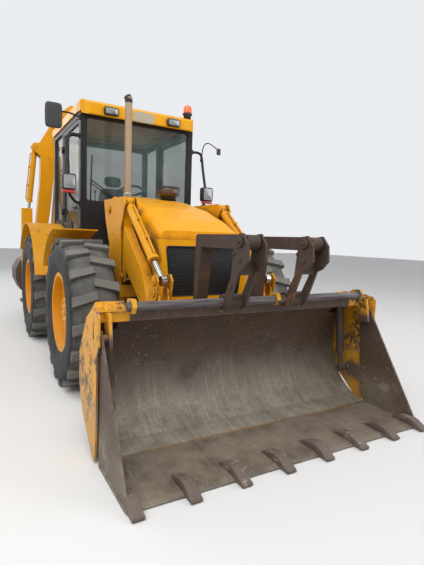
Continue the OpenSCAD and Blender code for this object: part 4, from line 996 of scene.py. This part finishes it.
SIDE_PIN_R, HOE_PIN_R, HOE_Y = 0.026, 0.029, 3.58
SIDE_PINS = {"machine": ((0.22, 1.7, 0.602), (0.7, 1.2, 0.602)),
             "arms": ((-0.15, 1.05, 0.573), (-0.85, 0.74, 0.598), (-1.02, 0.33, 0.598), (-0.16, 1.76, 0.565)),
             "levers": ((-1.02, 1.085, 0.596), (-1.0, 0.99, 0.596))}
HOE_PINS = {"swing_post": ((-0.58, 0.95, 0.154), (-0.26, 1.15, 0.154)),
            "hoe_boom": ((-0.5, 3.38, 0.126), (-0.2, 2.15, 0.083), (-0.22, 2.42, 0.083)),
            "hoe_dipper": ((-0.79, 1.55, 0.125), (-0.8, 1.28, 0.125), (-0.86, 2.85, 0.09)),
            "hoe_rocker": ((-1.01, 1.39, 0.121),)}
FORK_X, FORK_BOLTS = 0.275, ((-1.8, 1.345), (-1.87, 1.3), (-1.775, 1.12))
BOLT = [(0, 0), (0.014, 0), (0.014, 0.008), (0, 0.01)]

ends = {body: [] for body in (*SIDE_PINS, *HOE_PINS, "fork_frames")}
for s in (-1, 1):
    for body, pins in SIDE_PINS.items():
        for y, z, reach in pins:
            ends[body] += pin_end(at(s * reach, y, z), (s, 0, 0), SIDE_PIN_R)
    for body, pins in HOE_PINS.items():
        for x, z, reach in pins:
            ends[body] += pin_end(at(x, HOE_Y + s * reach, z), (0, s, 0), HOE_PIN_R)
    for x in (-FORK_X, FORK_X):
        ends["fork_frames"] += pin_end(at(x + s * 0.088, -1.87, 1.42), (s, 0, 0), SIDE_PIN_R)
        ends["fork_frames"] += [lathe(BOLT, at(x + s * 0.08, y, z), (s, 0, 0), 6) for y, z in FORK_BOLTS]
for body, parts in ends.items():
    coat = BROWN_STEEL if body == "fork_frames" else YELLOW
    fit("pin_ends_" + body, parts, coat, body, smooth=False)

# %% Wheel nuts
HUB_X = 0.95
NUT_RINGS = ((10, 0.18, 0.062, 0.0145), (8, 0.098, 0.14, 0.0085))
PLUG = [(0, 0.139), (0.034, 0.139), (0.034, 0.146), (0.028, 0.15), (0, 0.15)]
for s, wheel in ((1, "front_left"), (-1, "front_right"), (1, "rear_left"), (-1, "rear_right")):
    hub = middle("rim_" + wheel) * (0, 1, 1) + (s * HUB_X, 0, 0)
    nuts = [lathe(PLUG, hub, (s, 0, 0))]
    for count, ring, height, r in NUT_RINGS:
        nut = [(0, 0), (r, 0), (r, r), (0.7 * r, 1.2 * r), (0.55 * r, 1.9 * r), (0, 1.9 * r)]
        for angle in angles(count) + 0.2:
            place = hub + (s * height, ring * np.cos(angle), ring * np.sin(angle))
            nuts.append(lathe(nut, place, (s, 0, 0), 6))
    fit("wheel_nuts_" + wheel, nuts, RIM_YELLOW, wheel + "_wheel", smooth=False)
print("pins and nuts fitted")

# %% [markdown]
# ## Steel pipes
#
# Oil reaches the far end of a ram through a steel pipe along its barrel, held by clamps. Two black
# pipes run up the boom's back between clips.

# %% Pipes on the rams
RAM_X, PIPE_R, CLAMP_SIZE = 0.52, 0.009, (0.034, 0.034, 0.03)


def ram_pipe(start, end, first, last, lift, place):
    """A pipe beside a ram's barrel from first to last along its axis, raised by lift and bent down to the
    barrel at both ends, with two clamps. place turns two numbers into a point in space."""
    a = np.array(start)
    along = unit(np.array(end) - a)
    off = lift * np.array([-along[1], along[0]])
    route = [(first, 0.8), (first, 1), (first + 0.05, 1.15), ((first + last) / 2, 1.15), (last - 0.05, 1.15),
             (last, 1), (last, 0.8)]
    parts = [tube(smooth_path([place(*(a + along * d + off * k)) for d, k in route], 6), PIPE_R)]
    for share in (0.3, 0.7):
        spot = a + along * (first + (last - first) * share) + off * 1.1
        parts.append(soft_box(place(*spot), CLAMP_SIZE, 5))
    return parts


LOADER_PIPES = (("tilt", (-0.16, 1.76), (-1.02, 1.085), 0.13, 0.8, -0.055),
                ("lift", (0.7, 1.2), (-0.15, 1.05), 0.12, 0.68, 0.052))
HOE_PIPES = (("boom_ram_barrel", (-0.26, 1.15), (-0.2, 2.15), 0.11, 0.83, -0.06),
             ("dipper_ram_barrel", (-0.22, 2.42), (-0.28, 3.54), 0.11, 0.48, -0.058),
             ("crowd_ram_barrel", (-0.86, 2.85), (-1.01, 1.39), 0.11, 0.86, -0.052))
for s, side in ((-1, "right"), (1, "left")):
    for ram, *route in LOADER_PIPES:
        pipe = ram_pipe(*route, lambda y, z: at(s * RAM_X, y, z))
        fit("%s_pipe_%s" % (ram, side), pipe, YELLOW, ram + "_ram_barrels")
for body, *route in HOE_PIPES:
    fit("pipe_" + body, ram_pipe(*route, lambda x, z: at(x, HOE_Y, z)), YELLOW, body)

# %% Pipes on the boom
BOOM_BACK = ((-0.455, 1.2), (-0.385, 1.4), (-0.33, 1.7), (-0.29, 2.0), (-0.268, 2.25), (-0.276, 2.5),
             (-0.322, 2.76), (-0.352, 2.92))
BOOM_PIPE_OUT, BOOM_PIPE_R = 0.016, 0.011
pipes, clips = [], []
for y in (HOE_Y - 0.1, HOE_Y + 0.1):
    route = [(x + BOOM_PIPE_OUT, y, z) for x, z in BOOM_BACK]
    pipes.append(rod(route, BOOM_PIPE_R, 12))
    clips += [soft_box(at(*place), (0.036, 0.034, 0.026), 5) for place in route[1::2]]
fit("boom_pipes", pipes, BLACK, "hoe_boom")
fit("boom_clips", clips, BOLT_STEEL, "hoe_boom")

# %% [markdown]
# ## Bucket teeth
#
# A tooth is a forged bar that humps up over the lip and thins to a chisel. It is a section carried
# along a path: at each station a rounded rectangle with its own width and height. Two rivets hold it.

# %% Teeth of the loader bucket
def swept_bar(stations, x, columns=24, power=8):
    """A bar along -Y at a given x. Each station is (y, low z, high z, half width)."""
    y, low_z, high_z, half = np.asarray(stations, float).T[:, :, None]
    around = angles(columns)
    px = x + half * curl(np.cos(around), power)
    pz = (low_z + high_z) / 2 + (high_z - low_z) / 2 * curl(np.sin(around), power)
    return np.stack([px, y + AXLE_Y + 0 * px, pz], -1).reshape(-1, 3), capped(len(y), columns)


TOOTH = ((-1.985, 0.02, 0.03, 0.03), (-2.01, 0.02, 0.042, 0.036), (-2.06, 0.02, 0.066, 0.037),
         (-2.11, 0.019, 0.078, 0.037), (-2.15, 0.014, 0.076, 0.037), (-2.185, 0.008, 0.064, 0.037),
         (-2.205, 0.006, 0.056, 0.034), (-2.24, 0.006, 0.036, 0.0365), (-2.266, 0.008, 0.022, 0.036))
RIVET, RIVET_Z = [(0, 0), (0.011, 0), (0.01, 0.005), (0, 0.006)], 0.074
TEETH, TOOTH_SPAN = 8, 1.165
teeth = []
for x in np.linspace(-TOOTH_SPAN, TOOTH_SPAN, TEETH):
    teeth.append(swept_bar(TOOTH, x))
    teeth += [lathe(RIVET, at(x, y, RIVET_Z), sides=8) for y in (-2.085, -2.135)]
fit("bucket_teeth", teeth, TOOTH_STEEL, "clam")

# %% Filler caps of the side tanks
filler = [(0, 0), (0.05, 0), (0.05, 0.018), (0.044, 0.026), (0.02, 0.03), (0, 0.03)]
fit("filler_caps", [lathe(filler, at(s * 0.85, 1.13, 0.979), sides=20) for s in (-1, 1)], PLASTIC)
